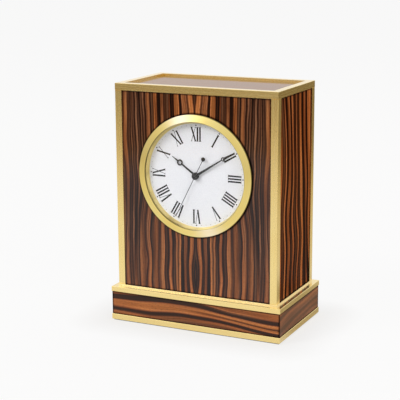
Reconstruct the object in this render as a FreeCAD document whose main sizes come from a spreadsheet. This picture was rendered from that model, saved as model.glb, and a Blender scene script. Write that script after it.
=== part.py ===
import FreeCAD, Part
import math
import os
import re
import Sketcher
from FreeCAD import Placement, Rotation, Vector

# A desk clock: a striped wood case in a brass frame, on a low banded plinth, with a turned bezel,
# a white dial and a battery movement that is reached through a hinged door at the back.
# Millimetres. X runs to the right, the dial faces -Y, Z is up and the origin is under the middle.

# Driving sizes, each written once
SIZES = {
    # Case, with its brass frame
    "overall_height": 230.0,
    "case_width": 164.0,
    "case_depth": 91.0,
    "post_width": 6.8,
    "post_wall": 2.5,
    "edge_break": 0.3,
    "rail_height": 6.6,
    "rim_flange": 4.0,
    "rim_recess": 2.0,
    "foot_height": 1.6,
    "panel_recess": 0.8,
    "floor_thickness": 5.0,
    "floor_cover": 1.0,
    # Plinth
    "plinth_height": 33.8,
    "plinth_margin": 5.5,
    "felt_thickness": 1.0,
    "felt_inset": 1.5,
    "base_band_height": 5.4,
    "base_band_depth": 8.0,
    "top_band_height": 4.9,
    "band_proud": 0.6,
    "fascia_thickness": 6.0,
    "plinth_screw_radius": 2.0,
    "plinth_screw_head": 4.0,
    "plinth_screw_head_height": 3.0,
    "plinth_screw_inset_x": 20.0,
    "plinth_screw_inset_y": 16.0,
    # Rear door and its furniture
    "stile_face": 10.0,
    "door_gap": 0.4,
    "door_thickness": 4.0,
    "door_cover": 0.8,
    "hinge_length": 24.0,
    "hinge_inset": 28.0,
    "knuckle_radius": 1.5,
    "knuckle_gap": 0.2,
    "knuckle_rise": 0.2,
    "leaf_thickness": 0.8,
    "leaf_margin": 1.7,
    "hinge_pin_radius": 0.75,
    "hinge_pin_head": 1.2,
    "hinge_pin_head_height": 0.6,
    "hinge_screw_radius": 0.8,
    "hinge_screw_head": 1.4,
    "slot_width": 0.4,
    "slot_depth": 0.3,
    "knob_radius": 3.8,
    "knob_height": 6.6,
    "knob_crown": 3.2,
    "knob_neck_radius": 1.5,
    "knob_flange_radius": 3.2,
    "knob_flange_height": 0.8,
    "knob_fillet": 1.2,
    "knob_stud_radius": 1.5,
    "knob_stud_length": 3.0,
    "knob_inset": 7.5,
    "magnet_width": 18.0,
    "magnet_depth": 7.0,
    "magnet_height": 24.0,
    "magnet_gap": 0.3,
    "strike_width": 7.0,
    "strike_height": 20.0,
    "strike_thickness": 0.8,
    "strike_inset": 1.5,
    # Bezel, glass and dial
    "bezel_margin": 18.2,
    "bezel_radius": 57.2,
    "bezel_flange": 4.7,
    "bezel_flank": 1.9,
    "bezel_crest": 3.2,
    "bezel_lip": 0.9,
    "lip_overhang": 0.6,
    "spigot_wall": 1.5,
    "spigot_tail": 0.55,
    "glass_thickness": 1.2,
    "glass_gap": 0.95,
    "reflector_step": 0.1,
    "reflector_slope": 1.7,
    "dial_thickness": 0.6,
    "dial_hole": 2.9,
    "plate_rim_height": 3.0,
    "plate_rim_width": 1.6,
    "plate_thickness": 1.0,
    "snap_ring_width": 1.6,
    "snap_ring_thickness": 0.8,
    "snap_groove_depth": 0.6,
    "ring_nut_width": 4.8,
    "ring_nut_thickness": 2.5,
    "ring_nut_notch": 4.0,
    "fit_gap": 0.05,
    "hub_gap": 0.02,
    # Hands
    "hour_hand_lift": 0.7,
    "hand_thickness": 0.35,
    "hand_gap": 0.25,
    "hour_hub": 3.3,
    "hour_margin": 19.0,
    "hour_point": 9.7,
    "hour_ring_radius": 2.9,
    "hour_ring_hole": 1.6,
    "hour_root_width": 2.0,
    "hour_neck_width": 1.2,
    "minute_hub": 2.9,
    "minute_margin": 4.6,
    "minute_point": 10.9,
    "minute_ring_radius": 2.0,
    "minute_ring_hole": 1.1,
    "minute_root_width": 2.5,
    "minute_neck_width": 0.9,
    "hand_point_width": 0.25,
    "seconds_hub": 3.4,
    "seconds_margin": 4.1,
    "seconds_width": 0.5,
    "seconds_tail_reach": 18.3,
    "seconds_disc": 1.95,
    # Movement case, cover and battery
    "movement_wall": 1.2,
    "movement_corner": 3.0,
    "bush_radius": 4.2,
    "bush_clearance": 0.8,
    "cover_thickness": 1.0,
    "boss_radius": 2.7,
    "boss_length": 5.0,
    "movement_screw_radius": 1.0,
    "movement_screw_head": 1.8,
    "movement_screw_head_height": 1.0,
    "movement_screw_length": 6.0,
    "battery_radius": 7.1,
    "battery_length": 49.0,
    "battery_nub_radius": 2.7,
    "battery_nub_length": 1.2,
    "battery_gap": 0.2,
    "contact_room": 3.3,
    "contact_thickness": 0.5,
    "contact_width": 8.0,
    # Wheel train
    "pivot_radius": 0.5,
    "seconds_arbor_radius": 0.45,
    "minute_pipe_radius": 1.5,
    "hour_pipe_radius": 2.3,
    "pipe_tip": 0.3,
    "wheel_thickness": 0.6,
    "pinion_length": 1.6,
    "end_shake": 0.1,
    "stepper_distance": 8.4,
    "third_extra": 0.1,
    "motion_extra": 0.4,
    "gear_room": 12.0,
    "wheel_gap": 0.2,
    "motion_step": 1.5,
    "centre_step": 2.2,
    "minute_tail": 1.5,
    "stepper_step": 2.4,
    "third_step": 2.0,
    "seconds_step": 2.8,
    "back_step": 2.6,
    "set_knob_radius": 5.5,
    "set_knob_thickness": 2.5,
    "set_knob_gap": 0.3,
    "set_knob_notch": 0.5,
    "coil_radius": 3.2,
    "coil_length": 20.0,
    "stator_length": 34.0,
    "stator_width": 11.0,
    "stator_thickness": 1.2,
    "stator_window": 5.0,
    "motor_depth": 4.6,
    "motor_post_radius": 1.5,
}

# Places that follow from the driving sizes
PLACES = {
    "half_width": "case_width / 2",
    "half_depth": "case_depth / 2",
    "inner_x": "half_width - post_width",
    "inner_y": "half_depth - post_width",
    "wall_x": "half_width - post_wall",
    "wall_y": "half_depth - post_wall",
    "field_x": "half_width - panel_recess",
    "foot_top": "plinth_height + foot_height",
    "rail_bottom": "overall_height - rail_height",
    "panel_height": "rail_bottom - foot_top",
    "dial_axis_height": "rail_bottom - bezel_margin - bezel_radius",
    "plinth_x": "half_width + plinth_margin",
    "plinth_y": "half_depth + plinth_margin",
    "fascia_x": "plinth_x - band_proud",
    "fascia_y": "plinth_y - band_proud",
    "core_x": "fascia_x - fascia_thickness",
    "core_y": "fascia_y - fascia_thickness",
    "base_top": "felt_thickness + base_band_height",
    "band_bottom": "plinth_height - top_band_height",
    "plinth_screw_x": "inner_x - plinth_screw_inset_x",
    "plinth_screw_y": "inner_y - plinth_screw_inset_y",
    "stile_x": "inner_x - stile_face",
    "door_x": "stile_x - door_gap",
    "door_bottom": "foot_top + door_gap",
    "door_height": "panel_height - 2 * door_gap",
    "hinge_x": "stile_x - door_gap / 2",
    "hinge_y": "wall_y + knuckle_radius + knuckle_rise",
    "leaf_low": "-(knuckle_radius + knuckle_rise)",
    "leaf_high": "leaf_low + leaf_thickness",
    "leaf_start": "knuckle_radius + knuckle_gap",
    "leaf_width": "stile_face + door_gap / 2 - leaf_margin",
    "leaf_hole_x": "(leaf_start + leaf_width) / 2",
    "hinge_screw_bite": "door_thickness - door_cover",
    "plinth_screw_bite": "floor_thickness - floor_cover",
    "knuckle_length": "(hinge_length - 2 * knuckle_gap) / 3",
    "knob_x": "-door_x + knob_inset",
    "strike_x": "-door_x + strike_inset",
    "strike_y": "wall_y - door_thickness - strike_thickness",
    "magnet_y": "strike_y - magnet_gap - magnet_depth",
    "face_y": "-half_depth + panel_recess",
    "panel_low": "foot_top - dial_axis_height",
    "panel_high": "rail_bottom - dial_axis_height",
    "panel_back": "panel_recess - post_width",
    "field_back": "panel_recess - post_wall",
    "spigot_outer": "bezel_radius - bezel_flange",
    "spigot_radius": "spigot_outer - spigot_wall",
    "insert_radius": "spigot_radius - fit_gap",
    "bezel_mouth": "spigot_radius - lip_overhang",
    "reflector_mouth": "bezel_mouth - reflector_step",
    "sight_radius": "reflector_mouth - reflector_slope",
    "hand_pitch": "hand_thickness + pipe_tip + hand_gap",
    "minute_hand_lift": "hour_hand_lift + hand_pitch",
    "seconds_hand_lift": "minute_hand_lift + hand_pitch",
    "glass_top": "bezel_crest - bezel_lip",
    "glass_bottom": "glass_top - glass_thickness",
    "dial_top": "glass_bottom - glass_gap - pipe_tip - hand_thickness - seconds_hand_lift",
    "dial_bottom": "dial_top - dial_thickness",
    "plate_top": "dial_bottom - plate_rim_height",
    "housing_front": "plate_top - plate_thickness",
    "snap_bottom": "housing_front - snap_ring_thickness",
    "groove_radius": "spigot_radius + snap_groove_depth",
    "spigot_end": "snap_bottom - fit_gap - spigot_tail",
    "bush_top": "dial_bottom - bush_clearance",
    "bush_bore": "hour_pipe_radius + fit_gap",
    "hour_hand_z": "dial_top + hour_hand_lift",
    "minute_hand_z": "dial_top + minute_hand_lift",
    "seconds_hand_z": "dial_top + seconds_hand_lift",
    "minute_reach": "sight_radius - minute_margin",
    "minute_ring_reach": "minute_reach - minute_point",
    "hour_reach": "sight_radius - hour_margin",
    "hour_ring_reach": "hour_reach - hour_point",
    "seconds_reach": "sight_radius - seconds_margin",
    "third_distance": "stepper_distance + third_extra",
    "motion_distance": "stepper_distance + motion_extra",
    "chamber": "battery_length / 2 + contact_room",
    "half_movement": "chamber + movement_wall",
    "chamber_top": "housing_front - movement_wall",
    "hour_wheel_z": "chamber_top - wheel_gap - wheel_thickness",
    "motion_wheel_z": "hour_wheel_z - motion_step",
    "centre_wheel_z": "motion_wheel_z - centre_step",
    "stepper_wheel_z": "centre_wheel_z - stepper_step",
    "third_wheel_z": "stepper_wheel_z - third_step",
    "seconds_wheel_z": "third_wheel_z - seconds_step",
    "housing_back": "seconds_wheel_z - back_step",
    "cover_back": "housing_back - cover_thickness",
    "bay_height": "2 * (battery_radius + battery_gap)",
    "partition_top": "-gear_room",
    "bay_top": "partition_top - movement_wall",
    "bay_bottom": "bay_top - bay_height",
    "case_low": "bay_bottom - movement_wall",
    "battery_y": "bay_top - bay_height / 2",
    "battery_z": "chamber_top - battery_gap - battery_radius",
    "boss_x": "chamber - boss_radius",
    "boss_high": "chamber - boss_radius",
    "boss_low": "partition_top + boss_radius",
    "knob_face": "cover_back - set_knob_gap",
    "coil_y": "chamber - coil_radius - fit_gap",
    "stator_low_y": "coil_y - stator_width",
    "stator_high_y": "coil_y + coil_radius / 2",
    "stator_top": "chamber_top - motor_depth",
    "window_x": "stator_length / 2 - stator_window",
}

# Tooth counts, and the shares of a module or of a tooth's pitch that shape each tooth
CANNON_TEETH_COUNT = 10
MOTION_TEETH_COUNT = 30
MOTION_PINION_COUNT = 8
HOUR_TEETH_COUNT = 32
SECONDS_PINION_COUNT = 8
THIRD_TEETH_COUNT = 60
THIRD_PINION_COUNT = 8
CENTRE_TEETH_COUNT = 64
STEPPER_PINION_COUNT = 8
STEPPER_TEETH_COUNT = 30
SECONDS_TEETH_COUNT = 48
ADDENDUM_SHARE = 0.8
DEDENDUM_SHARE = 1.15
ROOT_HALF_SHARE = 0.25
TIP_HALF_SHARE = 0.11

# The time on the dial, and the angles of the arbors round the centre, in degrees
SHOWN_SECONDS_COUNT = 34.5
SHOWN_MINUTES_COUNT = 9 + SHOWN_SECONDS_COUNT / 60
SHOWN_HOURS_COUNT = 10 + SHOWN_MINUTES_COUNT / 60
FULL_TURN = 360
MOTION_ANGLE = 200
THIRD_ANGLE = 35
STEPPER_ANGLE = 120
SNAP_RING_ANGLE = 335
RING_NUT_NOTCH_COUNT = 4
KNOB_NOTCH_COUNT = 18

doc = FreeCAD.newDocument("desk_clock")
pieces = {}


def formula(text):
    """Point each named size in a formula at the sheet that holds it."""

    def owner(match):
        word = match.group(0)
        sheet = "Sizes." if word in SIZES else "Places." if word in PLACES else ""
        return sheet + word

    return re.sub(r"[a-z_]+", owner, text)


def fill_sheet(name, cells):
    sheet = doc.addObject("Spreadsheet::Sheet", name)
    for row, (alias, content) in enumerate(cells.items(), 1):
        sheet.set("A%d" % row, alias)
        sheet.set("B%d" % row, content)
        sheet.setAlias("B%d" % row, alias)
    doc.recompute()
    return sheet


sizes = fill_sheet("Sizes", {name: str(number) for name, number in SIZES.items()})
places = fill_sheet("Places", {name: "=" + formula(text) for name, text in PLACES.items()})


def mm(name):
    """A size or place as a number, for the shapes that are worked out in code."""
    return float((sizes if name in SIZES else places).get(name))


# Sketches and features

def new_body(label):
    body = doc.addObject("PartDesign::Body", label)
    body.Label = label
    pieces[label] = body
    return body


def new_sketch(body, role, lift):
    plane = next(item for item in body.Origin.OriginFeatures if item.Role == role)
    sketch = body.newObject("Sketcher::SketchObject", "Outline")
    sketch.AttachmentSupport = [(plane, "")]
    sketch.MapMode = "FlatFace"
    sketch.setExpression("AttachmentOffset.Base.z", formula(lift))
    return sketch


def pin_point(sketch, geometry, position, point, place):
    """Tie a sketch point to the origin, by a distance along each axis."""
    for kind, start, text in (("DistanceX", point.x, place[0]), ("DistanceY", point.y, place[1])):
        index = sketch.addConstraint(Sketcher.Constraint(kind, -1, 1, geometry, position, start))
        sketch.setExpression("Constraints[%d]" % index, formula(text))


def polygon(body, corners, role="XY_Plane", lift="0"):
    sketch = new_sketch(body, role, lift)
    add_polygon(sketch, corners)
    return sketch


def add_polygon(sketch, corners):
    count = len(corners)
    first = len(sketch.Geometry)
    turns = [2 * math.pi * (index + 0.5) / count for index in range(count)]
    points = [Vector(math.cos(turn), math.sin(turn), 0) for turn in turns]
    for index in range(count):
        sketch.addGeometry(Part.LineSegment(points[index], points[(index + 1) % count]), False)
    for index in range(count):
        ends = (first + index, 2, first + (index + 1) % count, 1)
        sketch.addConstraint(Sketcher.Constraint("Coincident", *ends))
        pin_point(sketch, first + index, 1, points[index], corners[index])


def rectangle(low_x, low_y, high_x, high_y):
    return [(low_x, low_y), (high_x, low_y), (high_x, high_y), (low_x, high_y)]


def centred(half_x, half_y):
    return rectangle("-" + half_x, "-" + half_y, half_x, half_y)


def circles(body, rings, role="XY_Plane", lift="0"):
    """A sketch of circles, each given as (x, y, radius)."""
    sketch = new_sketch(body, role, lift)
    for x, y, radius in rings:
        centre = Vector(1, 1, 0)
        index = sketch.addGeometry(Part.Circle(centre, Vector(0, 0, 1), 1), False)
        pin_point(sketch, index, 3, centre, (x, y))
        bound = sketch.addConstraint(Sketcher.Constraint("Radius", index, 1))
        sketch.setExpression("Constraints[%d]" % bound, formula(radius))
    return sketch


def pad(body, sketch, length, downward=False):
    feature = body.newObject("PartDesign::Pad", "Pad")
    feature.Profile = sketch
    feature.setExpression("Length", formula(length))
    feature.Reversed = downward
    sketch.Visibility = False
    return feature


def pocket(body, sketch, depth=None, upward=False):
    """Cut a sketch down from its plane, to a depth or right through."""
    feature = body.newObject("PartDesign::Pocket", "Pocket")
    feature.Profile = sketch
    if depth is None:
        feature.Type = "ThroughAll"
    else:
        feature.setExpression("Length", formula(depth))
    feature.Reversed = upward
    sketch.Visibility = False
    return feature


def revolve(body, sketch, axis="V_Axis", angle=FULL_TURN):
    feature = body.newObject("PartDesign::Revolution", "Revolution")
    feature.Profile = sketch
    feature.ReferenceAxis = (sketch, [axis])
    feature.Angle = angle
    sketch.Visibility = False
    return feature


def repeat_round(body, feature, count):
    pattern = body.newObject("PartDesign::PolarPattern", "PolarPattern")
    pattern.Originals = [feature]
    axis = next(item for item in body.Origin.OriginFeatures if item.Role == "Z_Axis")
    pattern.Axis = (axis, [""])
    pattern.Angle = FULL_TURN
    pattern.Occurrences = count
    body.Tip = pattern
    return pattern


def dress_edges(body, kind, size, chosen):
    """Break or round the edges whose middle passes the test."""
    doc.recompute()
    base = body.Tip
    names = []
    for index, edge in enumerate(base.Shape.Edges, 1):
        middle = edge.valueAt((edge.FirstParameter + edge.LastParameter) / 2)
        if chosen(edge, middle):
            names.append("Edge%d" % index)
    feature = body.newObject("PartDesign::" + kind, kind)
    feature.Base = (base, names)
    feature.setExpression("Radius" if kind == "Fillet" else "Size", formula(size))
    return feature


def place(body, x="0", y="0", z="0", rotation=Rotation()):
    body.Placement = Placement(Vector(), rotation)
    for axis, text in (("x", x), ("y", y), ("z", z)):
        body.setExpression("Placement.Base." + axis, formula(text))


FACING_FRONT = Rotation(Vector(1, 0, 0), 90)
FACING_BACK = Rotation(Vector(1, 0, 0), -90)


def place_on_dial(body, clock_angle=0):
    """Local Z points out of the dial, from the face of the front panel."""
    turned = FACING_FRONT.multiply(Rotation(Vector(0, 0, 1), -clock_angle))
    place(body, "0", "face_y", "dial_axis_height", turned)


# Plinth

def plinth():
    felt = new_body("base_felt")
    pad(felt, polygon(felt, centred("(plinth_x - felt_inset)", "(plinth_y - felt_inset)")), "felt_thickness")

    band = new_body("plinth_base_frame")
    inside_band = ("(plinth_x - base_band_depth)", "(plinth_y - base_band_depth)")
    outline = polygon(band, centred("plinth_x", "plinth_y"), lift="felt_thickness")
    add_polygon(outline, centred(*inside_band))
    pad(band, outline, "base_band_height")
    break_outer_edges(band, "plinth_x", "plinth_y")

    core = new_body("plinth_core")
    steps = [
        (*inside_band, "felt_thickness", "base_band_height"),
        ("core_x", "core_y", "base_top", "band_bottom - base_top"),
        ("inner_x", "inner_y", "band_bottom", "foot_top - band_bottom"),
    ]
    for half_x, half_y, low, height in steps:
        pad(core, polygon(core, centred(half_x, half_y), lift=low), height)
    for radius, depth in (("plinth_screw_head + fit_gap", "plinth_screw_head_height"),
                          ("plinth_screw_radius + fit_gap", None)):
        bores = circles(core, at_plinth_screws(radius), lift="felt_thickness")
        pocket(core, bores, depth, upward=True)

    for name, length, distance, turn in (
        ("front", "fascia_x", "fascia_y", 0), ("right", "fascia_y", "fascia_x", 90),
        ("rear", "fascia_x", "fascia_y", 180), ("left", "fascia_y", "fascia_x", 270),
    ):
        fascia = mitred_bar("plinth_panel_" + name, length, distance, "fascia_thickness",
                            "base_top", "band_bottom - base_top")
        place(fascia, rotation=Rotation(Vector(0, 0, 1), turn))

    top = new_body("plinth_top_frame")
    outline = polygon(top, centred("plinth_x", "plinth_y"), lift="band_bottom")
    add_polygon(outline, centred("inner_x", "inner_y"))
    pad(top, outline, "top_band_height")
    break_outer_edges(top, "plinth_x", "plinth_y")


def at_plinth_screws(radius):
    return [(sign_x + "plinth_screw_x", sign_y + "plinth_screw_y", radius)
            for sign_x in ("", "-") for sign_y in ("", "-")]


def mitred_bar(label, half_length, distance, depth, low, height):
    """A bar along X at Y = -distance, with its ends cut at 45 degrees in plan."""
    body = new_body(label)
    inner = "(%s - %s)" % (half_length, depth)
    near = "-(%s)" % distance
    far = "-(%s - %s)" % (distance, depth)
    corners = [("-" + half_length, near), (half_length, near), (inner, far), ("-" + inner, far)]
    pad(body, polygon(body, corners, lift=low), height)
    return body


def break_outer_edges(body, half_x, half_y):
    """A small chamfer on the edges that lie on the outside of a frame."""
    limit_x, limit_y = mm(half_x), mm(half_y)
    near = mm("fit_gap")

    def on_outside(edge, middle):
        return abs(abs(middle.x) - limit_x) < near or abs(abs(middle.y) - limit_y) < near

    dress_edges(body, "Chamfer", "edge_break", on_outside)


# Case frame and panels

def case_frame():
    foot = new_body("foot_frame")
    outline = polygon(foot, centred("half_width", "half_depth"), lift="plinth_height")
    add_polygon(outline, centred("inner_x", "inner_y"))
    pad(foot, outline, "foot_height")

    for name, x, y, turn in (
        ("front_left", "-half_width", "-half_depth", 0), ("front_right", "half_width", "-half_depth", 90),
        ("rear_right", "half_width", "half_depth", 180), ("rear_left", "-half_width", "half_depth", 270),
    ):
        post = new_body("post_" + name)
        corners = [
            ("edge_break", "0"), ("post_width", "0"), ("post_width", "post_wall"),
            ("post_wall", "post_wall"), ("post_wall", "post_width"), ("0", "post_width"),
            ("0", "edge_break"),
        ]
        pad(post, polygon(post, corners), "panel_height")
        place(post, x, y, "foot_top", Rotation(Vector(0, 0, 1), turn))

    for name, length, distance, turn in (
        ("front", "half_width", "half_depth", 0), ("right", "half_depth", "half_width", 90),
        ("rear", "half_width", "half_depth", 180), ("left", "half_depth", "half_width", 270),
    ):
        rail = mitred_bar("top_rail_" + name, length, distance, "post_width", "rail_bottom", "rail_height")
        behind = rectangle("-" + length, "post_wall - " + distance, length, "post_width - " + distance)
        rebate = polygon(rail, behind, lift="rail_bottom")
        pocket(rail, rebate, "rail_height - rim_flange", upward=True)
        break_rail_edge(rail, distance)
        place(rail, rotation=Rotation(Vector(0, 0, 1), turn))


def break_rail_edge(rail, distance):
    """A small chamfer along the outer edges of a top rail, above and below."""
    face, near = -mm(distance), mm("fit_gap")
    levels = (mm("rail_bottom"), mm("overall_height"))

    def on_face(edge, middle):
        return abs(middle.y - face) < near and min(abs(middle.z - level) for level in levels) < near

    dress_edges(rail, "Chamfer", "edge_break", on_face)


def case_panels():
    front = new_body("front_panel")
    for half, low, length in (
        ("wall_x", "panel_back", "field_back - panel_back"), ("inner_x", "field_back", "-field_back"),
    ):
        pad(front, polygon(front, rectangle("-" + half, "panel_low", half, "panel_high"), lift=low), length)
    hole = circles(front, [("0", "0", "spigot_outer + fit_gap")])
    pocket(front, hole)
    place_on_dial(front)

    for name, turn in (("right", 0), ("left", 180)):
        side = new_body("side_panel_" + name)
        corners = rectangle("inner_x", "-inner_y", "field_x", "inner_y")
        pad(side, polygon(side, corners, lift="foot_top"), "panel_height")
        place(side, rotation=Rotation(Vector(0, 0, 1), turn))

    top = new_body("top_panel")
    tongue = polygon(top, centred("wall_x", "wall_y"), lift="rail_bottom")
    pad(top, tongue, "rail_height - rim_flange")
    field = polygon(top, centred("inner_x", "inner_y"), lift="overall_height - rim_flange")
    pad(top, field, "rim_flange - rim_recess")

    floor = new_body("floor_board")
    pad(floor, polygon(floor, centred("inner_x", "inner_y"), lift="foot_top"), "floor_thickness")
    bores = circles(floor, at_plinth_screws("plinth_screw_radius + fit_gap"), lift="foot_top")
    pocket(floor, bores, "plinth_screw_bite + fit_gap", upward=True)

    for name, turn, hinged in (("right", 0, True), ("left", 180, False)):
        stile = new_body("rear_stile_" + name)
        sign = "" if hinged else "-"
        low, high = ("inner_y", "wall_y") if hinged else ("-wall_y", "-inner_y")
        pad(stile, polygon(stile, rectangle("stile_x", low, "wall_x", high), lift="foot_top"), "panel_height")
        if hinged:
            cut_hinge_bores(stile, "hinge_x + leaf_hole_x")
        place(stile, rotation=Rotation(Vector(0, 0, 1), turn))


HINGE_BOTTOMS = ("foot_top + hinge_inset", "rail_bottom - hinge_inset - hinge_length")
LEAF_HOLE_SHARES = ("0.25", "0.75")


def cut_hinge_bores(body, x):
    """Pilot holes for the hinge screws, cut forwards from the face that the hinges lie on."""
    rings = [(x, "%s + %s * hinge_length" % (bottom, share), "hinge_screw_radius + fit_gap")
             for bottom in HINGE_BOTTOMS for share in LEAF_HOLE_SHARES]
    bores = circles(body, rings, role="XZ_Plane", lift="-wall_y")
    pocket(body, bores, "hinge_screw_bite + fit_gap", upward=True)


# Rear door

def rear_door():
    door = new_body("rear_door")
    corners = rectangle("-door_x", "wall_y - door_thickness", "door_x", "wall_y")
    pad(door, polygon(door, corners, lift="door_bottom"), "door_height")
    cut_hinge_bores(door, "hinge_x - leaf_hole_x")
    stud = circles(door, [("knob_x", "dial_axis_height", "knob_stud_radius + fit_gap")],
                   role="XZ_Plane", lift="-wall_y")
    pocket(door, stud, "knob_stud_length + fit_gap", upward=True)

    knob = new_body("door_knob")
    section = [
        ("0", "-knob_stud_length"), ("knob_stud_radius", "-knob_stud_length"), ("knob_stud_radius", "0"),
        ("knob_flange_radius", "0"), ("knob_flange_radius", "knob_flange_height"),
        ("knob_neck_radius", "knob_flange_height"), ("knob_neck_radius", "knob_height - knob_crown"),
        ("knob_radius", "knob_height - knob_crown"), ("knob_radius", "knob_height"), ("0", "knob_height"),
    ]
    revolve(knob, polygon(knob, section, role="XZ_Plane"))
    rim = mm("knob_radius")
    dress_edges(knob, "Fillet", "knob_fillet",
                lambda edge, middle: abs(math.hypot(middle.x, middle.y) - rim) < mm("fit_gap")
                and edge.Curve.TypeId == "Part::GeomCircle")
    place(knob, "knob_x", "wall_y", "dial_axis_height", FACING_BACK)

    strike = new_body("catch_plate")
    corners = rectangle("strike_x", "strike_y", "strike_x + strike_width", "strike_y + strike_thickness")
    pad(strike, polygon(strike, corners, lift="dial_axis_height - strike_height / 2"), "strike_height")

    magnet = new_body("catch_magnet")
    corners = rectangle("-inner_x", "magnet_y", "magnet_width - inner_x", "magnet_y + magnet_depth")
    pad(magnet, polygon(magnet, corners, lift="dial_axis_height - magnet_height / 2"), "magnet_height")


def hinges():
    for name, bottom in zip(("lower", "upper"), HINGE_BOTTOMS):
        for owner, sign, knuckles in (("case", "", (0, 2)), ("door", "-", (1,))):
            leaf = new_body("%s_hinge_leaf_%s" % (name, owner))
            plate = rectangle(sign + "leaf_start", "leaf_low", sign + "leaf_width", "leaf_high")
            pad(leaf, polygon(leaf, plate), "hinge_length")
            for knuckle in knuckles:
                low = "%d * (knuckle_length + knuckle_gap)" % knuckle
                link = rectangle("0", "leaf_low", sign + "leaf_start", "leaf_high")
                pad(leaf, polygon(leaf, link, lift=low), "knuckle_length")
                pad(leaf, circles(leaf, [("0", "0", "knuckle_radius")], lift=low), "knuckle_length")
            pocket(leaf, circles(leaf, [("0", "0", "hinge_pin_radius + fit_gap")],
                                 lift="hinge_length + edge_break"))
            rings = [(sign + "leaf_hole_x", share + " * hinge_length", "hinge_screw_radius + fit_gap")
                     for share in LEAF_HOLE_SHARES]
            pocket(leaf, circles(leaf, rings, role="XZ_Plane"), upward=True)
            outer = mm("leaf_high")
            dress_edges(leaf, "Chamfer", "hinge_screw_head - hinge_screw_radius",
                        lambda edge, middle: edge.Curve.TypeId == "Part::GeomCircle"
                        and abs(edge.Curve.Center.y - outer) < mm("fit_gap"))
            place(leaf, "hinge_x", "hinge_y", bottom)

    radius, head, rise = mm("hinge_pin_radius"), mm("hinge_pin_head"), mm("hinge_pin_head_height")
    pins = []
    for bottom in HINGE_BOTTOMS:
        low, length = level(bottom), mm("hinge_length")
        pin = Part.makeCylinder(radius, length, Vector(0, 0, low))
        for end in (low - rise, low + length):
            pin = pin.fuse(Part.makeCylinder(head, rise, Vector(0, 0, end)))
        pins.append(pin.removeSplitter())
    add_shape("hinge_pins", Part.makeCompound(pins), Vector(mm("hinge_x"), mm("hinge_y"), 0))


def level(bottom):
    """The height of a hinge's lower end."""
    if bottom == HINGE_BOTTOMS[0]:
        return mm("foot_top") + mm("hinge_inset")
    return mm("rail_bottom") - mm("hinge_inset") - mm("hinge_length")


def add_shape(label, shape, base=Vector(), rotation=Rotation()):
    feature = doc.addObject("Part::Feature", label)
    feature.Label = label
    feature.Shape = shape
    feature.Placement = Placement(base, rotation).multiply(shape.Placement)
    pieces[label] = feature


# Screws, made once and copied

def screw(head_radius, head_height, shank_radius, length, countersunk):
    """A slotted screw that points down, with the top of its head at the origin."""
    point = shank_radius
    seat = shank_radius if countersunk else head_radius
    section = [
        Vector(0, 0, -length), Vector(shank_radius, 0, point - length), Vector(shank_radius, 0, -head_height),
        Vector(seat, 0, -head_height), Vector(head_radius, 0, 0), Vector(0, 0, 0),
    ]
    corners = [corner for index, corner in enumerate(section) if corner != section[index - 1]]
    face = Part.Face(Part.makePolygon(corners + corners[:1]))
    body = face.revolve(Vector(), Vector(0, 0, 1), FULL_TURN)
    width, depth = mm("slot_width"), mm("slot_depth")
    slot = Part.makeBox(width, 2 * head_radius, depth, Vector(-width / 2, -head_radius, -depth))
    return body.cut(slot)


def copies(shape, rotation, spots):
    made = []
    for spot in spots:
        copy = shape.copy()
        copy.Placement = Placement(spot, rotation)
        made.append(copy)
    return Part.makeCompound(made)


def screws():
    fastener = screw(mm("plinth_screw_head"), mm("plinth_screw_head_height"), mm("plinth_screw_radius"),
                     mm("foot_top") + mm("plinth_screw_bite") - mm("felt_thickness"), False)
    x, y = mm("plinth_screw_x"), mm("plinth_screw_y")
    spots = [Vector(side * x, end * y, mm("felt_thickness")) for side in (1, -1) for end in (1, -1)]
    add_shape("plinth_screws", copies(fastener, Rotation(Vector(1, 0, 0), 180), spots))

    sink = mm("hinge_screw_head") - mm("hinge_screw_radius")
    length = mm("leaf_thickness") + mm("hinge_screw_bite")
    fastener = screw(mm("hinge_screw_head"), sink, mm("hinge_screw_radius"), length, True)
    surface = mm("hinge_y") + mm("leaf_high")
    for owner, side in (("case", 1), ("door", -1)):
        x = mm("hinge_x") + side * mm("leaf_hole_x")
        spots = [Vector(x, surface, level(bottom) + float(share) * mm("hinge_length"))
                 for bottom in HINGE_BOTTOMS for share in LEAF_HOLE_SHARES]
        add_shape("hinge_screws_" + owner, copies(fastener, FACING_BACK, spots))

    fastener = screw(mm("movement_screw_head"), mm("movement_screw_head_height"),
                     mm("movement_screw_radius"), mm("movement_screw_length"), False)
    top = mm("plate_top") + mm("movement_screw_head_height")
    spots = [Vector(side * mm("boss_x"), height, top)
             for side in (1, -1) for height in (mm("boss_high"), mm("boss_low"))]
    add_dial_shape("movement_screws", copies(fastener, Rotation(), spots))


def add_dial_shape(label, shape):
    add_shape(label, shape, Vector(0, mm("face_y"), mm("dial_axis_height")), FACING_FRONT)


# Bezel, glass and dial

def turned(label, section, angle=FULL_TURN):
    """A piece turned round the dial's axis from a section of (radius, height) corners."""
    body = new_body(label)
    revolve(body, polygon(body, section, role="XZ_Plane"), angle=angle)
    place_on_dial(body)
    return body


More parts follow.
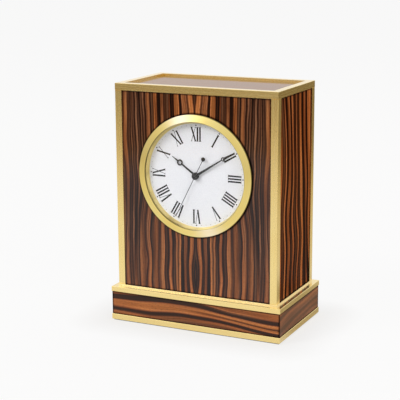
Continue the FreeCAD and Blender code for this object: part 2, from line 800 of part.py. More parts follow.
def dial_set():
    turned("bezel", [
        ("spigot_outer", "spigot_end"), ("spigot_outer", "0"), ("bezel_radius", "0"),
        ("bezel_radius", "bezel_flank - edge_break"), ("bezel_radius - edge_break", "bezel_flank"),
        ("bezel_mouth + edge_break", "bezel_crest"), ("bezel_mouth", "bezel_crest - edge_break"),
        ("bezel_mouth", "glass_top"), ("spigot_radius", "glass_top"), ("spigot_radius", "housing_front"),
        ("groove_radius", "housing_front"), ("groove_radius", "snap_bottom - fit_gap"),
        ("spigot_radius", "snap_bottom - fit_gap"), ("spigot_radius", "spigot_end"),
    ])
    turned("glass", rectangle("0", "glass_bottom", "insert_radius", "glass_top"))
    turned("reflector_ring", [
        ("sight_radius", "dial_top"), ("insert_radius", "dial_top"), ("insert_radius", "glass_bottom"),
        ("reflector_mouth", "glass_bottom"),
    ])
    turned("dial_plate", rectangle("dial_hole", "dial_bottom", "insert_radius", "dial_top"))
    plate = turned("mounting_plate", [
        ("bush_radius + fit_gap", "housing_front"), ("insert_radius", "housing_front"),
        ("insert_radius", "dial_bottom"), ("insert_radius - plate_rim_width", "dial_bottom"),
        ("insert_radius - plate_rim_width", "plate_top"), ("bush_radius + fit_gap", "plate_top"),
    ])
    pocket(plate, circles(plate, at_bosses("movement_screw_radius + fit_gap"), lift="plate_top"))
    turned("snap_ring", rectangle("groove_radius - snap_ring_width", "snap_bottom",
                                  "groove_radius - fit_gap", "housing_front"), SNAP_RING_ANGLE)
    nut = turned("ring_nut", rectangle("spigot_outer + fit_gap", "panel_back - ring_nut_thickness",
                                       "spigot_outer + ring_nut_width", "panel_back"))
    notch = rectangle("-ring_nut_notch / 2", "spigot_outer + ring_nut_width / 2",
                      "ring_nut_notch / 2", "spigot_outer + 2 * ring_nut_width")
    cut = pocket(nut, polygon(nut, notch, lift="panel_back + edge_break"))
    repeat_round(nut, cut, RING_NUT_NOTCH_COUNT)


def at_bosses(radius):
    return [(side + "boss_x", height, radius) for side in ("", "-") for height in ("boss_high", "boss_low")]


# Hands

def ringed_hand(label, sizes_of, hub_bore, clock_angle):
    """A hand with a tapered arm, an open ring and a fine point, drawn at twelve o'clock."""
    hand = new_body(label)
    lift = sizes_of + "_hand_z"
    ring_reach = sizes_of + "_ring_reach"
    root = sizes_of + "_root_width / 2"
    neck = sizes_of + "_neck_width / 2"
    point = "hand_point_width / 2"
    pad(hand, circles(hand, [("0", "0", sizes_of + "_hub")], lift=lift), "hand_thickness")
    arm = [("-" + root, "0"), (root, "0"), (neck, ring_reach), ("-" + neck, ring_reach)]
    pad(hand, polygon(hand, arm, lift=lift), "hand_thickness")
    pad(hand, circles(hand, [("0", ring_reach, sizes_of + "_ring_radius")], lift=lift), "hand_thickness")
    spear = [("-" + root, ring_reach), (root, ring_reach), (point, sizes_of + "_reach"),
             ("-" + point, sizes_of + "_reach")]
    pad(hand, polygon(hand, spear, lift=lift), "hand_thickness")
    holes = [("0", "0", hub_bore + " + hub_gap"), ("0", ring_reach, sizes_of + "_ring_hole")]
    pocket(hand, circles(hand, holes, lift=lift + " + 2 * hand_thickness"))
    place_on_dial(hand, clock_angle)


def hands():
    ringed_hand("hour_hand", "hour", "hour_pipe_radius", SHOWN_HOURS_COUNT * FULL_TURN / 12)
    ringed_hand("minute_hand", "minute", "minute_pipe_radius", SHOWN_MINUTES_COUNT * FULL_TURN / 60)
    hand = new_body("seconds_hand")
    lift, half = "seconds_hand_z", "seconds_width / 2"
    for ring in (("0", "0", "seconds_hub"), ("0", "-seconds_tail_reach", "seconds_disc")):
        pad(hand, circles(hand, [ring], lift=lift), "hand_thickness")
        if ring[1] == "0":
            arm = rectangle("-" + half, "-seconds_tail_reach", half, "seconds_reach")
            pad(hand, polygon(hand, arm, lift=lift), "hand_thickness")
    bore = circles(hand, [("0", "0", "seconds_arbor_radius + hub_gap")], lift=lift + " + 2 * hand_thickness")
    pocket(hand, bore)
    place_on_dial(hand, SHOWN_SECONDS_COUNT * FULL_TURN / 60)


# Movement case

def cut_corners(low):
    """The outline of the movement from a level upwards, with its corners cut off."""
    half, corner = "half_movement", "movement_corner"
    inner = "(%s - %s)" % (half, corner)
    return [
        ("-" + inner, low), (inner, low), (half, "%s + %s" % (low, corner)), (half, inner),
        (inner, half), ("-" + inner, half), ("-" + half, inner), ("-" + half, "%s + %s" % (low, corner)),
    ]


def movement_case():
    case = new_body("movement_case")
    outline = polygon(case, cut_corners("case_low"), lift="housing_front")
    pad(case, outline, "housing_front - housing_back", downward=True)
    for low, high in (("partition_top", "chamber"), ("bay_bottom", "bay_top")):
        pocket(case, polygon(case, rectangle("-chamber", low, "chamber", high), lift="chamber_top"))
    pad(case, circles(case, at_bosses("boss_radius"), lift="chamber_top"), "boss_length", downward=True)
    bush = circles(case, [("0", "0", "bush_radius")], lift="housing_front")
    pad(case, bush, "bush_top - housing_front")
    posts = [(side + "(stator_length + 2 * window_x) / 4", "(stator_low_y + stator_high_y) / 2",
              "motor_post_radius") for side in ("", "-")]
    pad(case, circles(case, posts, lift="chamber_top"), "motor_depth", downward=True)
    bores = circles(case, at_bosses("movement_screw_radius + fit_gap"), lift="housing_front")
    pocket(case, bores, "movement_screw_length - movement_screw_head_height - plate_thickness + fit_gap")
    pocket(case, circles(case, [("0", "0", "bush_bore")], lift="bush_top"))
    pocket(case, circles(case, at_arbors("pivot_radius + fit_gap"), lift="housing_front"))
    place_on_dial(case)

    cover = new_body("movement_cover")
    pad(cover, polygon(cover, cut_corners("bay_top"), lift="housing_back"), "cover_thickness", downward=True)
    rings = at_arbors("pivot_radius + fit_gap") + [("0", "0", "seconds_arbor_radius + fit_gap")]
    pocket(cover, circles(cover, rings, lift="housing_back"))
    place_on_dial(cover)

    cell = new_body("battery")
    section = [
        ("-battery_length / 2", "0"), ("-battery_length / 2", "battery_radius"),
        ("battery_length / 2", "battery_radius"), ("battery_length / 2", "battery_nub_radius"),
        ("battery_length / 2 + battery_nub_length", "battery_nub_radius"),
        ("battery_length / 2 + battery_nub_length", "0"),
    ]
    revolve(cell, polygon(cell, section), axis="H_Axis")
    place(cell, "0", "face_y - battery_z", "dial_axis_height + battery_y", FACING_FRONT)


def contacts():
    """Sprung plates at the two ends of the battery bay."""
    thick, width, wall = mm("contact_thickness"), mm("contact_width"), mm("chamber")
    ends = []
    for side, tip, radius in (
        (-1, -mm("battery_length") / 2, mm("battery_nub_radius")),
        (1, mm("battery_length") / 2 + mm("battery_nub_length"), mm("battery_nub_radius") / 2),
    ):
        low = min(side * wall, side * (wall - thick))
        plate = Part.makeBox(thick, width, width, Vector(low, -width / 2, -width / 2))
        start = side * (wall - thick / 2)
        spring = Part.makeCone(width / 2, radius, abs(start - tip), Vector(start, 0, 0), Vector(-side, 0, 0))
        ends.append(plate.fuse(spring))
    shape = Part.makeCompound(ends)
    shape.translate(Vector(0, mm("battery_y"), mm("battery_z")))
    add_dial_shape("battery_contacts", shape)


def stepping_motor():
    """A stator plate with a window, and the coil that is wound on its upper limb."""
    motor = new_body("stepping_motor")
    plate = rectangle("-stator_length / 2", "stator_low_y", "stator_length / 2", "stator_high_y")
    outline = polygon(motor, plate, lift="stator_top")
    add_polygon(outline, rectangle("-window_x", "stator_low_y + stator_window / 2", "window_x",
                                   "coil_y - coil_radius / 2"))
    pad(motor, outline, "stator_thickness", downward=True)
    coil = circles(motor, [("coil_y", "stator_top - stator_thickness / 2", "coil_radius")],
                   role="YZ_Plane", lift="-coil_length / 2")
    pad(motor, coil, "coil_length")
    place_on_dial(motor)


# Wheel train

def spot(distance, angle):
    turn = math.radians(angle)
    return Vector(mm(distance) * math.cos(turn), mm(distance) * math.sin(turn), 0)


def at_arbors(radius):
    """The arbors beside the centre, as distances times fixed direction shares."""
    rings = []
    for distance, angle in (("motion_distance", MOTION_ANGLE), ("third_distance", THIRD_ANGLE),
                            ("stepper_distance", STEPPER_ANGLE)):
        turn = math.radians(angle)
        rings.append(("%s * (%.9f)" % (distance, math.cos(turn)), "%s * (%.9f)" % (distance, math.sin(turn)),
                      radius))
    return rings


def toothed(teeth, module, low, thickness, phase):
    """A toothed disc from a height upwards, with a tooth centred on the phase angle, in degrees."""
    pitch_radius = module * teeth / 2
    root = pitch_radius - DEDENDUM_SHARE * module
    tip = pitch_radius + ADDENDUM_SHARE * module
    pitch = 2 * math.pi / teeth
    corners = []
    for tooth in range(teeth):
        middle = math.radians(phase) + tooth * pitch
        for radius, share in ((root, -ROOT_HALF_SHARE), (tip, -TIP_HALF_SHARE), (tip, TIP_HALF_SHARE),
                              (root, ROOT_HALF_SHARE)):
            turn = middle + share * pitch
            corners.append(Vector(radius * math.cos(turn), radius * math.sin(turn), low))
    return Part.Face(Part.makePolygon(corners + corners[:1])).extrude(Vector(0, 0, thickness))


def rod(radius, low, high):
    return Part.makeCylinder(radius, high - low, Vector(0, 0, low))


def gap_phase(angle, teeth):
    """The phase that puts a gap, not a tooth, at an angle."""
    return angle + FULL_TURN / teeth / 2


def module_for(distance, first, second):
    return 2 * mm(distance) / (first + second)


def wheel_train():
    wheel, pinion, gap = mm("wheel_thickness"), mm("pinion_length"), mm("fit_gap")
    pivot, back = mm("pivot_radius"), mm("cover_back")
    inside = mm("chamber_top") - mm("end_shake")
    front = mm("housing_front") - mm("end_shake")

    # The hour wheel, on the pipe that carries the hour hand
    module = module_for("motion_distance", HOUR_TEETH_COUNT, MOTION_PINION_COUNT)
    low = mm("hour_wheel_z")
    top = mm("hour_hand_z") + mm("hand_thickness") + mm("pipe_tip")
    shape = toothed(HOUR_TEETH_COUNT, module, low, wheel, MOTION_ANGLE)
    shape = shape.fuse(rod(mm("hour_pipe_radius"), low, top))
    shape = shape.cut(rod(mm("minute_pipe_radius") + gap, low - wheel, top + wheel))
    add_dial_shape("hour_wheel", shape)

    # The motion wheel, with its pinion and the arbor that the setting knob turns
    middle = low + wheel / 2
    low = mm("motion_wheel_z")
    shape = toothed(MOTION_TEETH_COUNT, module, low, wheel, MOTION_ANGLE + 180)
    shape = shape.fuse(toothed(MOTION_PINION_COUNT, module, low, middle - low + pinion / 4,
                               gap_phase(MOTION_ANGLE + 180, MOTION_PINION_COUNT)))
    shape = shape.fuse(rod(pivot, mm("knob_face") - mm("set_knob_thickness") / 2, front))
    shape.translate(spot("motion_distance", MOTION_ANGLE))
    add_dial_shape("motion_wheel", shape)

    # The minute arbor: a pipe with the cannon pinion, which carries the minute hand
    low = mm("motion_wheel_z") + wheel / 2 - pinion / 4
    shape = toothed(CANNON_TEETH_COUNT, module, low, pinion / 2, gap_phase(MOTION_ANGLE, CANNON_TEETH_COUNT))
    bottom = mm("centre_wheel_z") - mm("minute_tail")
    top = mm("minute_hand_z") + mm("hand_thickness") + mm("pipe_tip")
    shape = shape.fuse(rod(mm("minute_pipe_radius"), bottom, top))
    shape = shape.cut(rod(mm("seconds_arbor_radius") + gap, bottom - wheel, top + wheel))
    add_dial_shape("minute_arbor", shape)

    # The centre wheel, a friction fit on the minute arbor
    module = module_for("third_distance", CENTRE_TEETH_COUNT, THIRD_PINION_COUNT)
    low = mm("centre_wheel_z")
    shape = toothed(CENTRE_TEETH_COUNT, module, low, wheel, THIRD_ANGLE)
    shape = shape.cut(rod(mm("minute_pipe_radius") + gap, low - wheel, low + 2 * wheel))
    add_dial_shape("centre_wheel", shape)

    # The third wheel
    shape = toothed(THIRD_PINION_COUNT, module, low - wheel / 2, pinion,
                    gap_phase(THIRD_ANGLE + 180, THIRD_PINION_COUNT))
    module = module_for("third_distance", THIRD_TEETH_COUNT, SECONDS_PINION_COUNT)
    low = mm("third_wheel_z")
    shape = shape.fuse(toothed(THIRD_TEETH_COUNT, module, low, wheel, THIRD_ANGLE + 180))
    shape = shape.fuse(rod(pivot, back, front))
    shape.translate(spot("third_distance", THIRD_ANGLE))
    add_dial_shape("third_wheel", shape)

    # The seconds wheel, with its pinion and the arbor that carries the seconds hand
    shape = toothed(SECONDS_PINION_COUNT, module, low - wheel / 2, pinion,
                    gap_phase(THIRD_ANGLE, SECONDS_PINION_COUNT))
    module = module_for("stepper_distance", SECONDS_TEETH_COUNT, STEPPER_PINION_COUNT)
    low = mm("seconds_wheel_z")
    shape = shape.fuse(toothed(SECONDS_TEETH_COUNT, module, low, wheel, STEPPER_ANGLE))
    top = mm("seconds_hand_z") + mm("hand_thickness") + mm("pipe_tip")
    shape = shape.fuse(rod(mm("seconds_arbor_radius"), back, top))
    add_dial_shape("seconds_wheel", shape)

    # The stepper wheel, between the motor and the seconds wheel
    shape = toothed(STEPPER_PINION_COUNT, module, low - wheel / 2, pinion,
                    gap_phase(STEPPER_ANGLE + 180, STEPPER_PINION_COUNT))
    low = mm("stepper_wheel_z")
    shape = shape.fuse(toothed(STEPPER_TEETH_COUNT, module, low, wheel, 0))
    shape = shape.fuse(rod(pivot, back, front))
    shape.translate(spot("stepper_distance", STEPPER_ANGLE))
    add_dial_shape("stepper_wheel", shape)


def setting_knob():
    """A notched knob on the end of the motion wheel's arbor, behind the cover."""
    knob = new_body("set_knob")
    pad(knob, circles(knob, [("0", "0", "set_knob_radius")], lift="knob_face"), "set_knob_thickness",
        downward=True)
    bore = circles(knob, [("0", "0", "pivot_radius + hub_gap")], lift="knob_face")
    pocket(knob, bore, "set_knob_thickness / 2 + fit_gap")
    notch = circles(knob, [("set_knob_radius", "0", "set_knob_notch")], lift="knob_face + edge_break")
    repeat_round(knob, pocket(knob, notch), KNOB_NOTCH_COUNT)
    turn = math.radians(MOTION_ANGLE)
    place(knob, "motion_distance * (%.9f)" % math.cos(turn), "face_y",
          "dial_axis_height + motion_distance * (%.9f)" % math.sin(turn), FACING_FRONT)


def write_pieces():
    doc.recompute()
    failed = [item.Name for item in doc.Objects if "Invalid" in item.State or "Error" in item.State]
    if failed:
        raise RuntimeError("features that failed: " + ", ".join(failed))
    for label, piece in pieces.items():
        if piece.Shape.isNull() or not piece.Shape.isValid() or piece.Shape.Volume <= 0:
            raise RuntimeError(label + " has no sound shape")
    os.makedirs("parts", exist_ok=True)
    for label, piece in pieces.items():
        piece.Shape.exportStep("parts/%s.step" % label)
    print(len(pieces), "pieces")


plinth()
case_frame()
case_panels()
rear_door()
hinges()
screws()
dial_set()
hands()
movement_case()
contacts()
stepping_motor()
wheel_train()
setting_knob()
write_pieces()
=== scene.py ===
import math
import bmesh
import bpy
from mathutils import Matrix, Vector


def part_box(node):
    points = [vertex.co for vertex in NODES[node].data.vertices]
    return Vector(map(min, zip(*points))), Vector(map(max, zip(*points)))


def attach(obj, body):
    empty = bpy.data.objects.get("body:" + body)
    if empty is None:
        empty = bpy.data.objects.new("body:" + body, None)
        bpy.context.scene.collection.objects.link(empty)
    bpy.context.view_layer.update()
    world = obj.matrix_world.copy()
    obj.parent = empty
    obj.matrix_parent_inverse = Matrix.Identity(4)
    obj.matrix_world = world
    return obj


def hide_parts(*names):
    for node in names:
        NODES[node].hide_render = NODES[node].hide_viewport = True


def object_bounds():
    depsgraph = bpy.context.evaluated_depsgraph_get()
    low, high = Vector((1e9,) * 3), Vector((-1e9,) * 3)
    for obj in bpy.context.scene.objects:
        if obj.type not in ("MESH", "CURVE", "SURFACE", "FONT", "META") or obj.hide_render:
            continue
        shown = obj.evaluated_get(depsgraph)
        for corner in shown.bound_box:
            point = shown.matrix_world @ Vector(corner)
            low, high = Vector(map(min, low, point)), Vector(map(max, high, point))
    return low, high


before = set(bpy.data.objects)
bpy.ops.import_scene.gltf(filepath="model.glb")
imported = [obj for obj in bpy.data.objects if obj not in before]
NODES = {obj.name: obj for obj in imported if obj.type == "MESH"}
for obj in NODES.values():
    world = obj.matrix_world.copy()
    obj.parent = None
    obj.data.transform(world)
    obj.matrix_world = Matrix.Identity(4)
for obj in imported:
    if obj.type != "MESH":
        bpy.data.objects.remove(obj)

# A desk clock: macassar ebony veneer under lacquer, in a brushed brass frame, with a turned brass
# bezel and a white dial. Metres. X to the right, the dial faces -Y, Z up.

CAD_BOX = [list(corner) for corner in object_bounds()]
MM = 0.001
X, Y, Z = 0, 1, 2
QUARTER_TURN = math.radians(90.0)

# The dial's centre and face, which the bezel's turning marks and the printing go by
DIAL_HEIGHT_MM = 148.0
DIAL_CENTRE = Vector((0.0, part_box("dial_plate")[0][Y], DIAL_HEIGHT_MM * MM))


# Colours and nodes

def linear(code):
    """An sRGB hex colour as linear red, green, blue and alpha."""
    parts = [int(code[k:k + 2], 16) / 255 for k in (1, 3, 5)]
    lit = tuple(v / 12.92 if v <= 0.04045 else ((v + 0.055) / 1.055) ** 2.4 for v in parts)
    return lit + (1.0,)


def add_node(owner, kind, inputs=None, ramp=None, **settings):
    """A node with its settings and its ramp's stops. An input gets a value, a socket, or the first
    output in use of another node."""
    tree = owner.node_tree
    node = tree.nodes.new("ShaderNode" + kind)
    for name, value in settings.items():
        setattr(node, name, value)
    in_use = [socket for socket in node.inputs if socket.enabled]
    for name, value in (inputs or {}).items():
        if isinstance(name, int):
            socket = in_use[name]
        else:
            socket = next(candidate for candidate in in_use if candidate.name == name)
        if isinstance(value, bpy.types.Node):
            value = next(output for output in value.outputs if output.enabled)
        if isinstance(value, bpy.types.NodeSocket):
            tree.links.new(value, socket)
        else:
            socket.default_value = value
    if ramp:
        stops = node.color_ramp.elements
        for position, _ in ramp[1:-1]:
            stops.new(position)
        for stop, (position, code) in zip(stops, ramp):
            stop.position = position
            stop.color = linear(code)
    return node


def new_material(name):
    """An empty node material, and the object's own coordinates in it."""
    material = bpy.data.materials.new(name)
    material.use_nodes = True
    material.node_tree.nodes.clear()
    return material, add_node(material, "TexCoord").outputs["Object"]


def give(nodes, material):
    """A finish for CAD pieces."""
    for name in nodes:
        mesh = NODES[name].data
        mesh.materials.clear()
        mesh.materials.append(material)


# Macassar ebony

WARM_STRIPES = [(0.18, "#6c4630"), (0.27, "#40261c"), (0.35, "#2c160f"), (0.405, "#26120b"),
                (0.44, "#50301f"), (0.48, "#a46440"), (0.525, "#cc8456"), (0.61, "#e89e64"),
                (0.74, "#d08850"), (0.77, "#80502f"), (0.785, "#4c2c1c"), (0.81, "#a86a40"),
                (0.88, "#d49058")]
COOL_STRIPES = [(0.27, "#8a604c"), (0.36, "#54392f"), (0.43, "#2c1a16"), (0.47, "#24140f"),
                (0.50, "#4c342c"), (0.53, "#90664f"), (0.58, "#ac8066"), (0.64, "#8c6856"),
                (0.67, "#3a2520"), (0.72, "#a07456")]
PINSTRIPES = [(0.34, "#a99a98"), (0.50, "#f0e9e6"), (0.66, "#ffffff")]
UNEVEN_TONE = [(0.36, "#b2a49e"), (0.50, "#eee4e0"), (0.62, "#ffffff")]
PORE_COLOUR, CALM_AND_HAZE_COLOUR, GAP_SHADE_COLOUR = "#140c0c", "#94664a", "#0c0707"
# The levels of fine noise at which a pore in the wood starts, and is at its deepest
PORE_START, PORE_FULL = 0.60, 0.72
# How far apart in the noise the layers of one sheet are taken, so that none repeats another
LAYER_STEP = 7.0
# The cool stripes beat faster than the warm ones, and less
COOL_BEAT_PACE, COOL_BEAT_SHARE = 1.4, 0.6
# How far one patch leans to the warm stripes and the next to the cool, and an edge to the cool
PATCH_LEAN, EDGE_LEAN = 0.45, 0.85
PINSTRIPE_SHARE = 0.8
# Painted shade at the veneer's edges: dark and dull up to the first distance, gone at the second
GAP_NEAR, GAP_FAR, GAP_DARKNESS, GAP_GLOSS = 0.4 * MM, 1.7 * MM, 0.85, 0.1


def bend_grain(material, signed, along, across, seed, waves, flames):
    """The place across the grain, moved by slow waves and a small shiver, and pushed aside by
    figures where the grain parts round a spot.

    Waves are a width, a length and a push in mm. Figures, or flames, are a place across and along,
    half a width, half a length and a push."""
    plain = add_node(material, "CombineXYZ", {0: across, 1: along})
    for wide, tall, push in waves:
        spot = add_node(material, "Mapping", {
            "Vector": plain, "Location": (0.0, 0.0, seed + wide),
            "Scale": (1 / (wide * MM), 1 / (tall * MM), 1.0)})
        noise = add_node(material, "TexNoise", {
            "Vector": spot, "Scale": 1.0, "Detail": 1.0, "Roughness": 0.4})
        across = add_node(material, "Math", {0: noise, 1: 2 * push * MM, 2: across},
                          operation="MULTIPLY_ADD")
    unfolded = add_node(material, "CombineXYZ", {0: signed, 1: along})
    for middle, height, half_wide, half_tall, push in flames:
        near = add_node(material, "Mapping", {
            "Vector": unfolded, "Location": (middle * MM, height * MM, 0.0),
            "Scale": (half_wide * MM, half_tall * MM, 1.0)}, vector_type="TEXTURE")
        far = add_node(material, "VectorMath", {0: near, 1: near}, operation="DOT_PRODUCT")
        fade = add_node(material, "Math", {0: 1 / math.e, 1: far}, operation="POWER")
        across = add_node(material, "Math", {0: fade, 1: push * MM, 2: across},
                          operation="MULTIPLY_ADD")
    return across


def reach_of_edge(material, place, node, across_axis, along_axis, opening_mm):
    """How far a spot on a panel is from the frame round it, and from the round opening in it."""
    low, high = (Vector(corner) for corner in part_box(node))
    from_middle = add_node(material, "VectorMath", {0: place, 1: (low + high) / 2},
                           operation="SUBTRACT")
    away = add_node(material, "VectorMath", {0: from_middle}, operation="ABSOLUTE")
    room = add_node(material, "SeparateXYZ", {
        0: add_node(material, "VectorMath", {0: (high - low) / 2, 1: away}, operation="SUBTRACT")})
    reach = add_node(material, "Math", {0: room.outputs[across_axis], 1: room.outputs[along_axis]},
                     operation="MINIMUM")
    if opening_mm:
        flat = add_node(material, "VectorMath", {
            0: place, 1: (1.0, 0.0, 1.0), 2: (0.0, 0.0, -DIAL_CENTRE[Z])}, operation="MULTIPLY_ADD")
        radius = add_node(material, "VectorMath", {0: flat}, operation="LENGTH")
        outside = add_node(material, "Math", {0: radius, 1: opening_mm * MM}, operation="SUBTRACT")
        reach = add_node(material, "Math", {0: reach, 1: outside}, operation="MINIMUM")
    return reach


def macassar(name, node, across_axis, along_axis, seed, film, tint, stripe_mm=5.0, rhythm_mm=7.4,
             beat_share=0.15, warm_share=0.9, calm_and_haze_share=0.0, mirrored=False, cool_edge=None,
             opening_mm=None, waves=((60.0, 90.0, 5.0), (15.0, 32.0, 1.7)), flames=()):
    """Macassar ebony veneer, sliced and book-matched, under clear lacquer.

    It gives the eye near-black, purple-brown and orange-brown stripes of uneven width and tone,
    with fine pinstripes and open pores, under a smooth gloss. The pores, 0.1 mm in the wood, are
    drawn at 0.2 mm so that they show.

    The seed chooses the sheet. Film is how much of the lacquer's gloss shows, and the calm and haze
    share how far the stripes are evened towards one brown under it: partly an even tone of the
    wood, partly painted haze that stands in for the lacquer's reflection. From the first distance
    of cool_edge to the second, in mm from the middle, the stripes turn cool."""
    material, place = new_material(name)
    axes = add_node(material, "SeparateXYZ", {0: place})
    signed, along = axes.outputs[across_axis], axes.outputs[along_axis]
    across = add_node(material, "Math", {0: signed}, operation="ABSOLUTE") if mirrored else signed
    across = bend_grain(material, signed, along, across, seed, waves, flames)
    grain = add_node(material, "CombineXYZ", {0: across, 1: along})
    # Each layer's width in mm, how many times as long it is, and its detail
    layers = {}
    for layer, size_mm, stretch, detail in (
            ("stripes", stripe_mm, 90.0, 0.8), ("threads", stripe_mm * 0.5, 150.0, 1.0),
            ("patches", 9.0, 16.0, 1.0), ("broad", 6.5, 12.0, 1.0),
            ("pinstripes", 0.7, 110.0, 2.0), ("pores", 0.2, 16.0, 0.0)):
        spot = add_node(material, "Mapping", {
            "Vector": grain, "Location": (0.0, 0.0, seed + len(layers) * LAYER_STEP),
            "Scale": (1 / (size_mm * MM), 1 / (size_mm * stretch * MM), 1.0)})
        layers[layer] = add_node(material, "TexNoise", {
            "Vector": spot, "Scale": 1.0, "Detail": detail, "Roughness": 0.45})
    # Stripes of uneven width, kept to the growth rings' rhythm
    phase = add_node(material, "Math", {0: across, 1: math.tau / (rhythm_mm * MM)},
                     operation="MULTIPLY")
    beat = add_node(material, "Math", {0: phase}, operation="SINE")
    level = add_node(material, "Math", {0: beat, 1: beat_share, 2: layers["stripes"]},
                     operation="MULTIPLY_ADD")
    warm = add_node(material, "ValToRGB", {0: level}, ramp=WARM_STRIPES)
    cool_phase = add_node(material, "Math", {0: phase, 1: COOL_BEAT_PACE}, operation="MULTIPLY")
    cool_beat = add_node(material, "Math", {0: cool_phase}, operation="SINE")
    cool_level = add_node(material, "Math", {
        0: cool_beat, 1: beat_share * COOL_BEAT_SHARE, 2: layers["threads"]},
        operation="MULTIPLY_ADD")
    cool = add_node(material, "ValToRGB", {0: cool_level}, ramp=COOL_STRIPES)
    lean = add_node(material, "MapRange", {
        "Value": layers["patches"], "From Min": 0.40, "From Max": 0.60,
        "To Min": warm_share - PATCH_LEAN, "To Max": warm_share + PATCH_LEAN}, clamp=True)
    if cool_edge:
        edge = add_node(material, "MapRange", {
            "Value": add_node(material, "Math", {0: signed}, operation="ABSOLUTE"),
            "From Min": cool_edge[0] * MM, "From Max": cool_edge[1] * MM,
            "To Min": 0.0, "To Max": EDGE_LEAN}, clamp=True)
        lean = add_node(material, "Math", {0: lean, 1: edge}, operation="SUBTRACT", use_clamp=True)
    colour = add_node(material, "Mix", {"Factor": lean, "A": cool, "B": warm},
                      data_type="RGBA", clamp_factor=True)
    # Pinstripes, an uneven tone and pores in the stripes, then what the lacquer does to them
    thin = add_node(material, "ValToRGB", {0: layers["pinstripes"]}, ramp=PINSTRIPES)
    colour = add_node(material, "Mix", {"Factor": PINSTRIPE_SHARE, "A": colour, "B": thin},
                      data_type="RGBA", blend_type="MULTIPLY")
    broad = add_node(material, "ValToRGB", {0: layers["broad"]}, ramp=UNEVEN_TONE)
    colour = add_node(material, "Mix", {"Factor": 1.0, "A": colour, "B": broad},
                      data_type="RGBA", blend_type="MULTIPLY")
    pit = add_node(material, "MapRange", {
        "Value": layers["pores"], "From Min": PORE_START, "From Max": PORE_FULL, "To Max": 0.4},
        clamp=True)
    colour = add_node(material, "Mix", {"Factor": pit, "A": colour, "B": linear(PORE_COLOUR)},
                      data_type="RGBA")
    # Partly the wood's even tone, partly painted haze standing in for the lacquer's reflection
    colour = add_node(material, "Mix", {
        "Factor": calm_and_haze_share, "A": colour, "B": linear(CALM_AND_HAZE_COLOUR)}, data_type="RGBA")
    colour = add_node(material, "Mix", {"Factor": 1.0, "A": colour, "B": linear(tint)},
                      data_type="RGBA", blend_type="MULTIPLY")
    # Painted shade at the frame and round the bezel's opening: darker, with less of the gloss
    reach = reach_of_edge(material, place, node, across_axis, along_axis, opening_mm)
    gap_shade = add_node(material, "MapRange", {
        "Value": reach, "From Min": GAP_NEAR, "From Max": GAP_FAR,
        "To Min": GAP_DARKNESS, "To Max": 0.0}, clamp=True)
    gloss = add_node(material, "MapRange", {
        "Value": reach, "From Min": GAP_NEAR, "From Max": GAP_FAR,
        "To Min": GAP_GLOSS * film, "To Max": film}, clamp=True)
    colour = add_node(material, "Mix", {"Factor": gap_shade, "A": colour, "B": linear(GAP_SHADE_COLOUR)},
                      data_type="RGBA")
    dents = add_node(material, "Math", {0: layers["pinstripes"], 1: 0.25, 2: pit},
                     operation="MULTIPLY_ADD")
    bump = add_node(material, "Bump", {"Height": dents, "Strength": 0.10, "Distance": 0.03 * MM},
                    invert=True)
    shader = add_node(material, "BsdfPrincipled", {
        "Base Color": colour, "Normal": bump, "Roughness": 0.5, "Specular IOR Level": 0.0,
        "Coat Weight": gloss, "Coat Roughness": 0.10, "Coat IOR": 1.48})
    add_node(material, "OutputMaterial", {"Surface": shader})
    return material


# Brass

# The bezel, in mm from the dial's centre: the corner against the glass, the rim at the veneer, and
# how far painted shade reaches in from each
BEZEL_CORNER_MM, BEZEL_RIM_MM, CORNER_SHADE_MM, RIM_SHADE_MM = 50.4, 57.1, 0.7, 0.4
BEZEL_SHADE_COLOUR, PAINTED_FAN_HIGHLIGHT = "#4e3c14", "#fff4e0"
# The bezel's painted highlights, pale fans: their turn up from the right, how narrow and how pale
HIGHLIGHT_FAN_TURN, HIGHLIGHT_FAN_TIGHTNESS, HIGHLIGHT_FAN_SHARE = math.radians(107.0), 40.0, 0.65


def brushed_brass(name, along_axis, dark="#efd286", colour="#f3d88e", bright="#f7e09c"):
    """Satin brass, brushed along the bar and lacquered: soft cream highlights with fine straight
    lines. The brush lines, some 0.05 mm apart, are drawn at 0.16 mm so that they show."""
    line_mm, line_length_mm, cloud_mm = 0.16, 40.0, 38.0
    material, place = new_material(name)
    scale = [1 / (line_mm * MM)] * 3
    scale[along_axis] = 1 / (line_length_mm * MM)
    spot = add_node(material, "Mapping", {"Vector": place, "Scale": scale})
    lines = add_node(material, "TexNoise", {
        "Vector": spot, "Scale": 1.0, "Detail": 2.0, "Roughness": 0.55})
    cloud = add_node(material, "TexNoise", {
        "Vector": place, "Scale": 1 / (cloud_mm * MM), "Detail": 2.0})
    blend = add_node(material, "Mix", {"Factor": 0.35, "A": lines, "B": cloud}, data_type="FLOAT")
    tone = add_node(material, "ValToRGB", {0: blend},
                    ramp=[(0.30, dark), (0.50, colour), (0.72, bright)])
    sheen = add_node(material, "MapRange", {
        "Value": lines, "From Min": 0.3, "From Max": 0.7, "To Min": 0.25, "To Max": 0.28},
        clamp=True)
    bump = add_node(material, "Bump", {"Height": lines, "Strength": 0.004, "Distance": 0.02 * MM})
    shader = add_node(material, "BsdfPrincipled", {
        "Base Color": tone, "Roughness": sheen, "Normal": bump, "Metallic": 1.0,
        "Coat Weight": 0.6, "Coat Roughness": 0.18})
    add_node(material, "OutputMaterial", {"Surface": shader})
    return material


